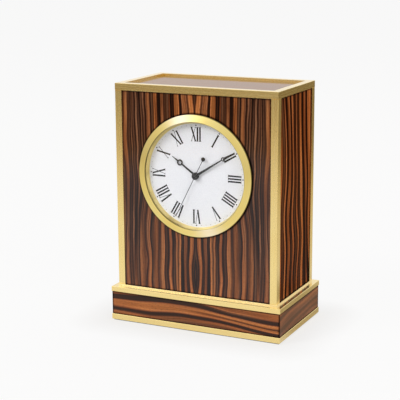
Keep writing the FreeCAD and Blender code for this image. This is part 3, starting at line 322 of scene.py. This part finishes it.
def turned_brass(name, dark="#eed478", colour="#f7e394", bright="#faebae", rough=0.27,
                 is_bezel=False):
    """Brass turned on a lathe: rings of fine lines round the dial's axis, which draw the light out
    into fans. The turning lines, some 0.05 mm apart, are drawn at 0.14 mm so that they show.

    On the bezel, painted shade darkens the corner against the glass and the rim against the veneer,
    and two painted highlights make the metal paler in two fans, one opposite the other."""
    line_mm, cloud_mm = 0.14, 30.0
    material, place = new_material(name)
    centred = add_node(material, "VectorMath", {0: place, 1: (0.0, 0.0, DIAL_CENTRE[Z])},
                       operation="SUBTRACT")
    flat = add_node(material, "VectorMath", {0: centred, 1: (1.0, 0.0, 1.0)}, operation="MULTIPLY")
    radius = add_node(material, "VectorMath", {0: flat}, operation="LENGTH")
    depth = add_node(material, "SeparateXYZ", {0: place}).outputs[Y]
    section = add_node(material, "CombineXYZ", {0: radius, 1: depth})
    lines = add_node(material, "TexNoise", {
        "Vector": section, "Scale": 1 / (line_mm * MM), "Detail": 1.5})
    cloud = add_node(material, "TexNoise", {
        "Vector": place, "Scale": 1 / (cloud_mm * MM), "Detail": 1.0})
    blend = add_node(material, "Mix", {"Factor": 0.3, "A": lines, "B": cloud}, data_type="FLOAT")
    tone = add_node(material, "ValToRGB", {0: blend},
                    ramp=[(0.30, dark), (0.52, colour), (0.74, bright)])
    outward = add_node(material, "VectorMath", {0: flat}, operation="NORMALIZE")
    if is_bezel:
        # Painted shade: darker in the corner against the glass and at the rim against the veneer
        corner = add_node(material, "MapRange", {
            "Value": radius, "From Min": BEZEL_CORNER_MM * MM,
            "From Max": (BEZEL_CORNER_MM + CORNER_SHADE_MM) * MM, "To Min": 0.75, "To Max": 0.0},
            clamp=True)
        rim = add_node(material, "MapRange", {
            "Value": radius, "From Min": (BEZEL_RIM_MM - RIM_SHADE_MM) * MM,
            "From Max": BEZEL_RIM_MM * MM, "To Max": 0.8}, clamp=True)
        stained = add_node(material, "Math", {0: corner, 1: rim}, operation="ADD", use_clamp=True)
        tone = add_node(material, "Mix", {
            "Factor": stained, "A": tone, "B": linear(BEZEL_SHADE_COLOUR)}, data_type="RGBA")
        # Painted highlights: two pale fans, one opposite the other, mixed into the colour
        toward = add_node(material, "VectorMath", {
            0: outward, 1: (math.cos(HIGHLIGHT_FAN_TURN), 0.0, math.sin(HIGHLIGHT_FAN_TURN))}, operation="DOT_PRODUCT")
        either_way = add_node(material, "Math", {0: toward}, operation="ABSOLUTE")
        highlight_fan = add_node(material, "Math", {0: either_way, 1: HIGHLIGHT_FAN_TIGHTNESS}, operation="POWER")
        share = add_node(material, "Math", {0: highlight_fan, 1: HIGHLIGHT_FAN_SHARE}, operation="MULTIPLY")
        tone = add_node(material, "Mix", {"Factor": share, "A": tone, "B": linear(PAINTED_FAN_HIGHLIGHT)},
                        data_type="RGBA")
    bump = add_node(material, "Bump", {"Height": lines, "Strength": 0.05, "Distance": 0.02 * MM})
    shader = add_node(material, "BsdfPrincipled", {
        "Base Color": tone, "Normal": bump, "Tangent": outward, "Metallic": 1.0,
        "Roughness": rough, "Anisotropic": 0.65})
    add_node(material, "OutputMaterial", {"Surface": shader})
    return material


# Other finishes

def moulded(name, colour, dark, rough, ior=1.50):
    """Moulded plastic: a fine even grain from the tool, with a dull sheen."""
    grain_mm, cloud_mm = 0.5, 12.0
    material, place = new_material(name)
    grain = add_node(material, "TexNoise", {
        "Vector": place, "Scale": 1 / (grain_mm * MM), "Detail": 2.0})
    cloud = add_node(material, "TexNoise", {
        "Vector": place, "Scale": 1 / (cloud_mm * MM), "Detail": 2.0})
    tone = add_node(material, "ValToRGB", {0: cloud}, ramp=[(0.35, dark), (0.65, colour)])
    bump = add_node(material, "Bump", {"Height": grain, "Strength": 0.15, "Distance": 0.03 * MM})
    shader = add_node(material, "BsdfPrincipled", {
        "Base Color": tone, "Normal": bump, "Roughness": rough, "IOR": ior})
    add_node(material, "OutputMaterial", {"Surface": shader})
    return material


def worked_steel(name, colour, dark, rough=0.32):
    """Steel with fine working marks: a grey sheen broken by short scratches. The scratches, some
    0.02 mm wide, are drawn at 0.2 mm so that they show."""
    scratch_mm = 0.2
    material, place = new_material(name)
    marks = add_node(material, "TexNoise", {
        "Vector": place, "Scale": 1 / (scratch_mm * MM), "Detail": 3.0})
    tone = add_node(material, "ValToRGB", {0: marks}, ramp=[(0.3, dark), (0.7, colour)])
    bump = add_node(material, "Bump", {"Height": marks, "Strength": 0.08, "Distance": 0.02 * MM})
    shader = add_node(material, "BsdfPrincipled", {
        "Base Color": tone, "Normal": bump, "Metallic": 1.0, "Roughness": rough})
    add_node(material, "OutputMaterial", {"Surface": shader})
    return material


def stained_wood(name, along_axis, light="#5a3424", dark="#331c12"):
    """Plain hardwood stained to match the veneer: straight soft grain under satin lacquer."""
    material, place = new_material(name)
    layers = []
    for size_mm, length_mm, detail in ((2.4, 70.0, 4.0), (0.25, 4.0, 0.0)):
        scale = [1 / (size_mm * MM)] * 3
        scale[along_axis] = 1 / (length_mm * MM)
        spot = add_node(material, "Mapping", {"Vector": place, "Scale": scale})
        layers.append(add_node(material, "TexNoise", {
            "Vector": spot, "Scale": 1.0, "Detail": detail, "Roughness": 0.6, "Distortion": 0.3}))
    grain, pores = layers
    pit = add_node(material, "MapRange", {
        "Value": pores, "From Min": PORE_START, "From Max": PORE_FULL, "To Max": 0.5}, clamp=True)
    tone = add_node(material, "ValToRGB", {0: grain},
                    ramp=[(0.32, dark), (0.5, light), (0.68, dark)])
    colour = add_node(material, "Mix", {"Factor": pit, "A": tone, "B": linear(dark)},
                      data_type="RGBA")
    height = add_node(material, "Math", {0: grain, 1: pit}, operation="SUBTRACT")
    bump = add_node(material, "Bump", {"Height": height, "Strength": 0.15, "Distance": 0.04 * MM})
    shader = add_node(material, "BsdfPrincipled", {
        "Base Color": colour, "Normal": bump, "Roughness": 0.35, "Coat Weight": 0.3,
        "Coat Roughness": 0.3})
    add_node(material, "OutputMaterial", {"Surface": shader})
    return material


def enamel(name, colour, dark, rough, coat=0.0, mirror=0.5):
    """Sprayed or printed enamel: an even coat with the faintest orange peel. Mirror is its
    specular level."""
    peel_mm = 1.2
    material, place = new_material(name)
    peel = add_node(material, "TexNoise", {
        "Vector": place, "Scale": 1 / (peel_mm * MM), "Detail": 2.0})
    tone = add_node(material, "ValToRGB", {0: peel}, ramp=[(0.3, dark), (0.7, colour)])
    bump = add_node(material, "Bump", {"Height": peel, "Strength": 0.04, "Distance": 0.03 * MM})
    shader = add_node(material, "BsdfPrincipled", {
        "Base Color": tone, "Normal": bump, "Roughness": rough, "Specular IOR Level": mirror,
        "Coat Weight": coat, "Coat Roughness": 0.15})
    add_node(material, "OutputMaterial", {"Surface": shader})
    return material


def clear_glass(name):
    """Clear flat glass, 1.2 mm, bloomed against glare: a faint mirror at a slant, and it lets light
    through to the dial. Its IOR is set low to give the bloomed glass's weaker mirror."""
    smear_mm = 24.0
    material, place = new_material(name)
    smear = add_node(material, "TexNoise", {
        "Vector": place, "Scale": 1 / (smear_mm * MM), "Detail": 2.0})
    sheen = add_node(material, "MapRange", {"Value": smear, "To Max": 0.03}, clamp=True)
    shader = add_node(material, "BsdfPrincipled", {
        "Base Color": linear("#ffffff"), "Roughness": sheen, "IOR": 1.33,
        "Transmission Weight": 1.0})
    open_way = add_node(material, "BsdfTransparent", {"Color": linear("#ffffff")})
    shadow = add_node(material, "LightPath").outputs["Is Shadow Ray"]
    both = add_node(material, "MixShader", {0: shadow, 1: shader, 2: open_way})
    add_node(material, "OutputMaterial", {"Surface": both})
    return material


def pressed_felt(name):
    """Pressed wool felt: dark, matt and fibrous, with a soft bloom at its edge. The fibres, finer
    than 0.05 mm, are drawn as 0.5 mm tufts so that they show."""
    fibre_mm = 0.5
    material, place = new_material(name)
    fibre = add_node(material, "TexNoise", {
        "Vector": place, "Scale": 1 / (fibre_mm * MM), "Detail": 4.0, "Roughness": 0.7,
        "Distortion": 1.5})
    tone = add_node(material, "ValToRGB", {0: fibre},
                    ramp=[(0.3, "#0d0b0b"), (0.55, "#1e1a1a"), (0.8, "#3b3333")])
    bump = add_node(material, "Bump", {"Height": fibre, "Strength": 0.6, "Distance": 0.15 * MM})
    shader = add_node(material, "BsdfPrincipled", {
        "Base Color": tone, "Normal": bump, "Roughness": 0.95, "Sheen Weight": 0.3,
        "Sheen Roughness": 0.6})
    add_node(material, "OutputMaterial", {"Surface": shader})
    return material


def wound_coil(name):
    """Enamelled copper wire wound in close turns: a red-brown gloss with fine ribs. The wire, some
    0.1 mm thick, is drawn 0.6 mm thick so that its turns show: a wave of this size has a rib at
    each 0.3 of it."""
    wave_mm = 2.0
    material, place = new_material(name)
    ribs = add_node(material, "TexWave", {
        "Vector": place, "Scale": 1 / (wave_mm * MM), "Distortion": 0.4},
        wave_type="BANDS", bands_direction="X")
    tone = add_node(material, "ValToRGB", {0: ribs}, ramp=[(0.1, "#6e3214"), (0.6, "#b8622e")])
    bump = add_node(material, "Bump", {"Height": ribs, "Strength": 0.5, "Distance": 0.1 * MM})
    shader = add_node(material, "BsdfPrincipled", {
        "Base Color": tone, "Normal": bump, "Metallic": 0.6, "Roughness": 0.3})
    add_node(material, "OutputMaterial", {"Surface": shader})
    return material


def raw_board(name):
    """Raw fibreboard: a pale brown felted surface with darker specks."""
    speck_mm = 0.9
    material, place = new_material(name)
    specks = add_node(material, "TexNoise", {
        "Vector": place, "Scale": 1 / (speck_mm * MM), "Detail": 4.0, "Roughness": 0.7})
    tone = add_node(material, "ValToRGB", {0: specks},
                    ramp=[(0.3, "#7c5f41"), (0.55, "#a98661"), (0.75, "#c4a27b")])
    bump = add_node(material, "Bump", {"Height": specks, "Strength": 0.3, "Distance": 0.08 * MM})
    shader = add_node(material, "BsdfPrincipled", {
        "Base Color": tone, "Normal": bump, "Roughness": 0.8})
    add_node(material, "OutputMaterial", {"Surface": shader})
    return material


# The finishes on the CAD pieces

SIDE_VENEER = {
    "stripe_mm": 10.5, "rhythm_mm": 11.0, "beat_share": 0.17, "warm_share": 1.25,
    "waves": ((90.0, 150.0, 16.0), (26.0, 60.0, 1.8)), "film": 0.08, "tint": "#ffe8c8"}
PLINTH_VENEER = {
    "stripe_mm": 9.0, "rhythm_mm": 10.5, "beat_share": 0.13,
    "waves": ((70.0, 140.0, 14.0), (30.0, 60.0, 1.8))}

give(["front_panel"], macassar(
    "macassar_ebony_front", "front_panel", X, Z, seed=31.2, film=0.72, tint="#fff2de",
    stripe_mm=8.0, rhythm_mm=7.6, beat_share=0.19, warm_share=0.98, mirrored=True,
    cool_edge=(41.0, 58.0), opening_mm=57.6,
    flames=((0.0, 58.0, 11.0, 24.0, -3.4), (-50.0, 62.0, 4.5, 16.0, 3.0))))
give(["side_panel_right"], macassar(
    "macassar_ebony_side", "side_panel_right", Y, Z, seed=27.4,
    flames=((-14.0, 112.0, 24.0, 26.0, 7.0), (12.0, 84.0, 20.0, 22.0, -4.0)), **SIDE_VENEER))
give(["side_panel_left"], macassar(
    "macassar_ebony_left_side", "side_panel_left", Y, Z, seed=8.9, **SIDE_VENEER))
give(["top_panel"], macassar(
    "macassar_ebony_top", "top_panel", Y, X, seed=4.1, film=0.74, calm_and_haze_share=0.8, tint="#fff080"))
give(["plinth_panel_front", "plinth_panel_rear"], macassar(
    "macassar_ebony_plinth_front", "plinth_panel_front", Z, X, seed=2.9, film=0.5,
    calm_and_haze_share=0.08, tint="#fff0d4", **PLINTH_VENEER))
give(["plinth_panel_left", "plinth_panel_right"], macassar(
    "macassar_ebony_plinth_side", "plinth_panel_right", Z, Y, seed=5.2, film=0.65,
    calm_and_haze_share=0.45, tint="#fff2f0", **PLINTH_VENEER))

give(["post_front_left", "post_front_right", "post_rear_left", "post_rear_right",
      "lower_hinge_leaf_case", "lower_hinge_leaf_door", "upper_hinge_leaf_case",
      "upper_hinge_leaf_door", "hinge_pins"], brushed_brass("satin_brass_upright", Z))
give(["top_rail_front", "top_rail_rear", "plinth_base_frame", "plinth_top_frame"],
     brushed_brass("satin_brass_cross_bar", X))
# The foot strip's brass is painted paler than the rest: a painted highlight for the cream
# reflection at the foot
give(["foot_frame"],
     brushed_brass("satin_brass_strip_painted_pale", X, "#f0dfb2", "#f6e9c6", "#faf0d6"))
give(["top_rail_left", "top_rail_right"], brushed_brass("satin_brass_side_bar", Y))
give(["bezel"], turned_brass(
    "turned_brass_bezel", "#e8cb6c", "#f0da88", "#f6e6a4", 0.42, is_bezel=True))
give(["ring_nut", "door_knob"], turned_brass("turned_brass_small_parts"))
give(["reflector_ring"],
     turned_brass("gilt_reflector_ring", "#e6cb74", "#f2dd92", "#f7e7aa", 0.30))
give(["dial_plate"], enamel("matt_white_dial_enamel", "#e3e4e8", "#dddee3", 0.5))
give(["hour_hand", "minute_hand", "seconds_hand"],
     enamel("grey_black_hand_paint", "#222224", "#19191b", 0.5, mirror=0.15))
give(["glass"], clear_glass("clear_dial_glass"))

give(["rear_door", "rear_stile_left", "rear_stile_right"],
     stained_wood("stained_hardwood_door", Z))
give(["floor_board"], stained_wood("stained_hardwood_floor", X))
give(["plinth_core"], raw_board("raw_fibreboard"))
give(["movement_case", "movement_cover", "mounting_plate", "catch_magnet"],
     moulded("moulded_black_abs", "#1c1c1e", "#121213", 0.5))
give(["hour_wheel", "motion_wheel", "minute_arbor", "centre_wheel", "third_wheel",
      "stepper_wheel", "set_knob"], moulded("natural_acetal", "#dcd7c6", "#cfc8b4", 0.35, ior=1.48))
give(["seconds_wheel"], moulded("black_acetal", "#1d1d1f", "#141416", 0.35, ior=1.48))
give(["plinth_screws", "hinge_screws_case", "hinge_screws_door", "movement_screws", "catch_plate"],
     worked_steel("zinc_plated_steel", "#b8babc", "#8f9194"))
give(["snap_ring", "battery_contacts"],
     worked_steel("bare_spring_steel", "#a2a2a4", "#77787b", 0.28))
give(["battery"], enamel("plain_battery_jacket", "#2c313b", "#22262e", 0.35, coat=0.3))
give(["stepping_motor"], wound_coil("enamelled_copper_winding"))


# Modelling helpers

def start_edit(thing):
    """The piece alone, open for editing with all of it selected."""
    bpy.ops.object.select_all(action="DESELECT")
    thing.select_set(True)
    bpy.context.view_layer.objects.active = thing
    bpy.ops.object.mode_set(mode="EDIT")
    bpy.ops.mesh.select_all(action="SELECT")


def select_where(thing, test):
    """Selects the corners of the open piece whose place passes the test, and what lies between
    them."""
    bpy.ops.mesh.select_all(action="DESELECT")
    shape = bmesh.from_edit_mesh(thing.data)
    for corner in shape.verts:
        corner.select = test(corner.co)
    shape.select_flush(True)
    bmesh.update_edit_mesh(thing.data)


def end_edit(thing, name, smooth_degrees=None):
    """The piece closed, its place put into its mesh and its faces outwards."""
    bpy.ops.mesh.select_all(action="SELECT")
    bpy.ops.mesh.remove_doubles(threshold=1e-7)
    bpy.ops.mesh.normals_make_consistent(inside=False)
    bpy.ops.object.mode_set(mode="OBJECT")
    thing.name = name
    thing.data.name = name
    bpy.ops.object.transform_apply(location=True, rotation=True, scale=True)
    if smooth_degrees is not None:
        bpy.ops.object.shade_smooth_by_angle(angle=math.radians(smooth_degrees))
    return thing


def copy_of(thing, place):
    """A copy with its own mesh, at a place."""
    twin = thing.copy()
    twin.data = thing.data.copy()
    twin.matrix_world = place
    bpy.context.collection.objects.link(twin)
    return twin


def join(things):
    """Several pieces made one."""
    bpy.ops.object.select_all(action="DESELECT")
    for thing in things:
        thing.select_set(True)
    bpy.context.view_layer.objects.active = things[0]
    if len(things) > 1:
        bpy.ops.object.join()
    return things[0]


def finish_piece(thing, body, slot, material, *nodes):
    """Its finish, the body it rides on, and the CAD nodes it stands for. The slot is not used."""
    thing.data.materials.clear()
    thing.data.materials.append(material)
    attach(thing, body)
    if nodes:
        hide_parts(*nodes)


# The felt under the plinth: a sheet cut square, its edges softened

FELT_EDGE = 0.3 * MM


def lay_felt():
    """A cube stretched to the felt's size, its edges rounded."""
    low, high = (Vector(corner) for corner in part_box("base_felt"))
    bpy.ops.object.select_all(action="DESELECT")
    bpy.ops.mesh.primitive_cube_add(size=1.0, location=(low + high) / 2, scale=high - low)
    felt = bpy.context.object
    bpy.ops.object.transform_apply(location=False, rotation=False, scale=True)
    start_edit(felt)
    bpy.ops.mesh.bevel(offset=FELT_EDGE, segments=3, affect="EDGES")
    end_edit(felt, "felt_pad", 40)
    finish_piece(felt, "case", "felt", pressed_felt("pressed_wool_felt"), "base_felt")


lay_felt()


# Numerals and minute dots, printed on the dial. Letters in mm, drawn at twelve o'clock

INK = 0.02 * MM
NUMERAL_FOOT, NUMERAL_HEAD = 32.0, 45.3
THICK, THIN = 1.50, 0.45
SERIF, BRACKET, SERIF_OUT = 0.26, 0.32, 0.45
LETTER_WIDTHS = {"I": 2.60, "V": 5.40, "X": 5.60}
# Each stroke: how far its foot and its head are from the letter's middle, its width, its serifs
LETTER_STROKES = {
    "I": ((0.0, 0.0, THICK, True, True),),
    "V": ((0.0, -1.80, THICK, False, True), (0.0, 2.00, THIN, False, True)),
    "X": ((1.95, -1.90, THICK, True, True), (-1.90, 1.95, THIN, True, True))}
NUMERALS = ("XII", "I", "II", "III", "IIII", "V", "VI", "VII", "VIII", "IX", "X", "XI")
HOUR_DEGREES, MINUTE_DEGREES = 30.0, 6.0
DOT_RING, MINUTE_DOT, HOUR_DOT = 46.8, 0.26, 0.66


def stroke(foot, head, width, foot_serif, head_serif):
    """One stroke: a plane drawn long and leaned over, with bracketed serifs pulled out of its
    ends."""
    serif = SERIF + BRACKET
    low = NUMERAL_FOOT + serif if foot_serif else NUMERAL_FOOT
    high = NUMERAL_HEAD - serif if head_serif else NUMERAL_HEAD
    bpy.ops.object.select_all(action="DESELECT")
    bpy.ops.mesh.primitive_plane_add(size=1.0, rotation=(QUARTER_TURN, 0.0, 0.0))
    thing = bpy.context.object
    bpy.ops.object.transform_apply(location=False, rotation=True, scale=False)
    start_edit(thing)
    bpy.ops.transform.resize(value=(width * MM, 1.0, (high - low) * MM),
                             center_override=(0.0, 0.0, 0.0))
    bpy.ops.transform.translate(value=(0.0, 0.0, (low + high) / 2 * MM))
    middle = (low + high) / 2 * MM
    ends = ((foot, -1.0, low, foot_serif, lambda spot: spot.z < middle),
            (head, 1.0, high, head_serif, lambda spot: spot.z > middle))
    for out, way, level, has_serif, at_end in ends:
        select_where(thing, at_end)
        bpy.ops.transform.translate(value=(out * MM, 0.0, 0.0))
        if has_serif:
            bpy.ops.mesh.extrude_region_move(
                TRANSFORM_OT_translate={"value": (0.0, 0.0, way * BRACKET * MM)})
            bpy.ops.transform.resize(value=((width + 2 * SERIF_OUT) / width, 1.0, 1.0),
                                     center_override=(out * MM, 0.0, level * MM))
            bpy.ops.mesh.extrude_region_move(
                TRANSFORM_OT_translate={"value": (0.0, 0.0, way * SERIF * MM)})
    bpy.ops.mesh.select_all(action="SELECT")
    bpy.ops.mesh.extrude_region_move(TRANSFORM_OT_translate={"value": (0.0, -INK, 0.0)})
    return end_edit(thing, "stroke")


def draw_letter(sign):
    """A letter from its strokes, run into one another."""
    strokes = [stroke(*sizes) for sizes in LETTER_STROKES[sign]]
    whole = strokes[0]
    for other in strokes[1:]:
        union = whole.modifiers.new("run_together", "BOOLEAN")
        union.operation = "UNION"
        union.solver = "EXACT"
        union.object = other
        bpy.ops.object.select_all(action="DESELECT")
        whole.select_set(True)
        bpy.context.view_layer.objects.active = whole
        bpy.ops.object.modifier_apply(modifier=union.name)
        bpy.data.objects.remove(other)
    return whole


def print_numerals(ink):
    """Twelve numerals, each a row of copied letters turned to its hour."""
    letters = {sign: draw_letter(sign) for sign in LETTER_STROKES}
    for hour, signs in enumerate(NUMERALS):
        turn = (Matrix.Translation(DIAL_CENTRE)
                @ Matrix.Rotation(math.radians(HOUR_DEGREES * hour), 4, "Y"))
        left = -sum(LETTER_WIDTHS[sign] for sign in signs) / 2
        row = []
        for sign in signs:
            aside = Matrix.Translation(((left + LETTER_WIDTHS[sign] / 2) * MM, 0.0, 0.0))
            row.append(copy_of(letters[sign], turn @ aside))
            left += LETTER_WIDTHS[sign]
        numeral = join(row)
        start_edit(numeral)
        end_edit(numeral, "numeral_%02d" % (hour or len(NUMERALS)))
        finish_piece(numeral, "case", "hand_paint", ink)
    for letter in letters.values():
        bpy.data.objects.remove(letter)


def print_dots(ink):
    """One dot at twelve o'clock, copied round to five, the first opened up to the hour's dot, then
    those five copied round the dial."""
    top = DIAL_CENTRE + Vector((0.0, 0.0, DOT_RING * MM))
    bpy.ops.object.select_all(action="DESELECT")
    bpy.ops.mesh.primitive_circle_add(
        vertices=16, radius=MINUTE_DOT * MM, fill_type="NGON", location=top,
        rotation=(QUARTER_TURN, 0.0, 0.0))
    dots = bpy.context.object
    bpy.ops.object.transform_apply(location=True, rotation=True, scale=True)
    start_edit(dots)
    bpy.ops.mesh.extrude_region_move(TRANSFORM_OT_translate={"value": (0.0, -INK, 0.0)})
    bpy.ops.mesh.select_all(action="SELECT")
    bpy.ops.mesh.spin(steps=4, dupli=True, angle=math.radians(4 * MINUTE_DEGREES),
                      center=DIAL_CENTRE, axis=(0.0, 1.0, 0.0))
    select_where(dots, lambda spot: abs(spot.x) < 2 * MINUTE_DOT * MM)
    bpy.ops.transform.resize(value=(HOUR_DOT / MINUTE_DOT, 1.0, HOUR_DOT / MINUTE_DOT),
                             center_override=top)
    bpy.ops.mesh.select_all(action="SELECT")
    bpy.ops.mesh.spin(steps=11, dupli=True, angle=math.radians(11 * HOUR_DEGREES),
                      center=DIAL_CENTRE, axis=(0.0, 1.0, 0.0))
    end_edit(dots, "minute_dots")
    finish_piece(dots, "case", "hand_paint", ink)


print_numerals(enamel("black_pad_printing", "#0f0f11", "#0a0a0b", 0.5, mirror=0.1))
print_dots(enamel("grey_pad_printing", "#1c1c1f", "#161618", 0.5, mirror=0.1))


# Floor, lights and camera

# How much of the floor is drawn as plain white: the rest is lit and shaded. More of the shadow is
# kept against the foot, and the plain white is reached at the last distance
FLOOR_GLOW_SHARE, NEAR_GLOW_SHARE, SHADOW_REACH = 0.92, 0.71, 0.045
FOOT = CAD_BOX[1]
# What metal and lacquer see of the floor is a painted reflection, from the front left to the back
# right, 1.6 m each way: dim and warm far in front, white near by, dim close behind the foot, then
# brighter, and dimmer and warm again far behind
PAINTED_REFLECTION_WAY, PAINTED_REFLECTION_REACH = (0.43, 0.90, 0.0), 1.6
PAINTED_FLOOR_REFLECTION = [(0.10, "#4c3c1e"), (0.16, "#ac7c3c"), (0.193, "#f0c27c"), (0.225, "#f8ecd4"),
              (0.265, "#ffffff"), (0.495, "#ffffff"), (0.51, "#b6aa8c"), (0.55, "#a89c7c"),
              (0.565, "#e8e2ce"), (0.61, "#e0d6b6"), (0.70, "#d2c292"), (0.755, "#b09c6c"),
              (0.785, "#7c6c44")]


def seen_by(owner):
    """Whether the camera sees it, straight, in metal or through glass, and whether in metal."""
    path = add_node(owner, "LightPath")
    in_metal = path.outputs["Is Glossy Ray"]
    either = add_node(owner, "Math", {0: path.outputs["Is Camera Ray"], 1: in_metal},
                      operation="ADD")
    any_way = add_node(owner, "Math", {0: either, 1: path.outputs["Is Transmission Ray"]},
                       operation="ADD", use_clamp=True)
    return any_way, in_metal


def studio_floor():
    """A pale floor that the camera sees as near white, with the clock's own shadow on it. Metal and
    lacquer see a painted reflection in it instead: a glow, dim and warm in places.
    """
    bpy.ops.object.select_all(action="DESELECT")
    bpy.ops.mesh.primitive_plane_add(size=24.0, location=(0.0, 0.0, 0.0))
    floor = bpy.context.object
    floor.name = "studio_floor"
    material, place = new_material("pale_studio_floor")
    shader = add_node(material, "BsdfPrincipled", {
        "Base Color": linear("#e9e6e2"), "Roughness": 0.9, "Specular IOR Level": 0.1})
    # The painted reflection: a glow that metal and lacquer see in place of the lit floor
    behind = add_node(material, "VectorMath", {0: place, 1: PAINTED_REFLECTION_WAY},
                      operation="DOT_PRODUCT")
    way = add_node(material, "MapRange", {
        "Value": behind, "From Min": -PAINTED_REFLECTION_REACH, "From Max": PAINTED_REFLECTION_REACH}, clamp=True)
    fade = add_node(material, "ValToRGB", {0: way}, ramp=PAINTED_FLOOR_REFLECTION)
    any_way, in_metal = seen_by(material)
    shown = add_node(material, "Mix", {"Factor": in_metal, "A": linear("#fefefe"), "B": fade},
                     data_type="RGBA")
    glow = add_node(material, "Emission", {"Color": shown, "Strength": 1.0})
    # The distance from the foot's own rectangle
    spot = add_node(material, "VectorMath", {0: place}, operation="ABSOLUTE")
    past = add_node(material, "VectorMath", {0: spot, 1: (FOOT[X], FOOT[Y], 1.0)},
                    operation="SUBTRACT")
    beyond = add_node(material, "VectorMath", {0: past, 1: (0.0, 0.0, 0.0)}, operation="MAXIMUM")
    away = add_node(material, "VectorMath", {0: beyond}, operation="LENGTH")
    glow_share = add_node(material, "MapRange", {
        "Value": away, "From Max": SHADOW_REACH, "To Min": NEAR_GLOW_SHARE,
        "To Max": FLOOR_GLOW_SHARE}, clamp=True)
    share = add_node(material, "Math", {0: any_way, 1: glow_share}, operation="MULTIPLY")
    both = add_node(material, "MixShader", {0: share, 1: shader, 2: glow})
    add_node(material, "OutputMaterial", {"Surface": both})
    floor.data.materials.append(material)


def studio_world():
    """A white room to the eye, in metal and through glass, and a soft even light otherwise."""
    world = bpy.data.worlds.new("soft_white_studio")
    bpy.context.scene.world = world
    world.use_nodes = True
    world.node_tree.nodes.clear()
    any_way, _ = seen_by(world)
    soft = add_node(world, "Background", {"Color": linear("#f7f5f4"), "Strength": 0.37})
    seen = add_node(world, "Background", {"Color": linear("#fbfbfb"), "Strength": 1.0})
    both = add_node(world, "MixShader", {0: any_way, 1: soft, 2: seen})
    add_node(world, "OutputWorld", {"Surface": both})


def soft_box(name, place, aim, size, power):
    """A large soft lamp turned to face a point, its side in metres and its power in watts."""
    lamp = bpy.data.lights.new(name, "AREA")
    lamp.shape = "SQUARE"
    lamp.size = size
    lamp.energy = power
    thing = bpy.data.objects.new(name, lamp)
    bpy.context.collection.objects.link(thing)
    way = (Vector(aim) - Vector(place)).to_track_quat("-Z", "Y")
    thing.matrix_world = Matrix.Translation(place) @ way.to_matrix().to_4x4()


studio_floor()
studio_world()
soft_box("key_lamp", (-1.3, -1.6, 1.7), (0.0, 0.0, 0.12), 0.8, 20.0)
soft_box("fill_lamp", (1.6, -0.9, 1.0), (0.0, 0.0, 0.12), 1.4, 9.0)
soft_box("top_lamp", (0.2, 0.5, 2.0), (0.0, 0.0, 0.1), 1.6, 12.0)

# The camera, fitted to edges measured in the photograph: its place in metres, turns in degrees
CAMERA_SPOT = (0.466, -0.998, 0.367)
CAMERA_TURN, CAMERA_TILT, CAMERA_ROLL = 25.81, 12.81, -0.37
FOCAL_PIXELS, FRAME_PIXELS, SENSOR_MM = 1182.0, 400.0, 36.0
camera_data = bpy.data.cameras.new("product_camera")
camera_data.sensor_width = SENSOR_MM
camera_data.lens = FOCAL_PIXELS / FRAME_PIXELS * SENSOR_MM
camera_data.clip_end = 100.0
camera = bpy.data.objects.new("product_camera", camera_data)
bpy.context.collection.objects.link(camera)
camera.matrix_world = (Matrix.Translation(CAMERA_SPOT)
                       @ Matrix.Rotation(math.radians(CAMERA_TURN), 4, "Z")
                       @ Matrix.Rotation(math.radians(90.0 - CAMERA_TILT), 4, "X")
                       @ Matrix.Rotation(math.radians(CAMERA_ROLL), 4, "Z"))
bpy.context.scene.camera = camera
bpy.context.scene.view_settings.view_transform = "Standard"
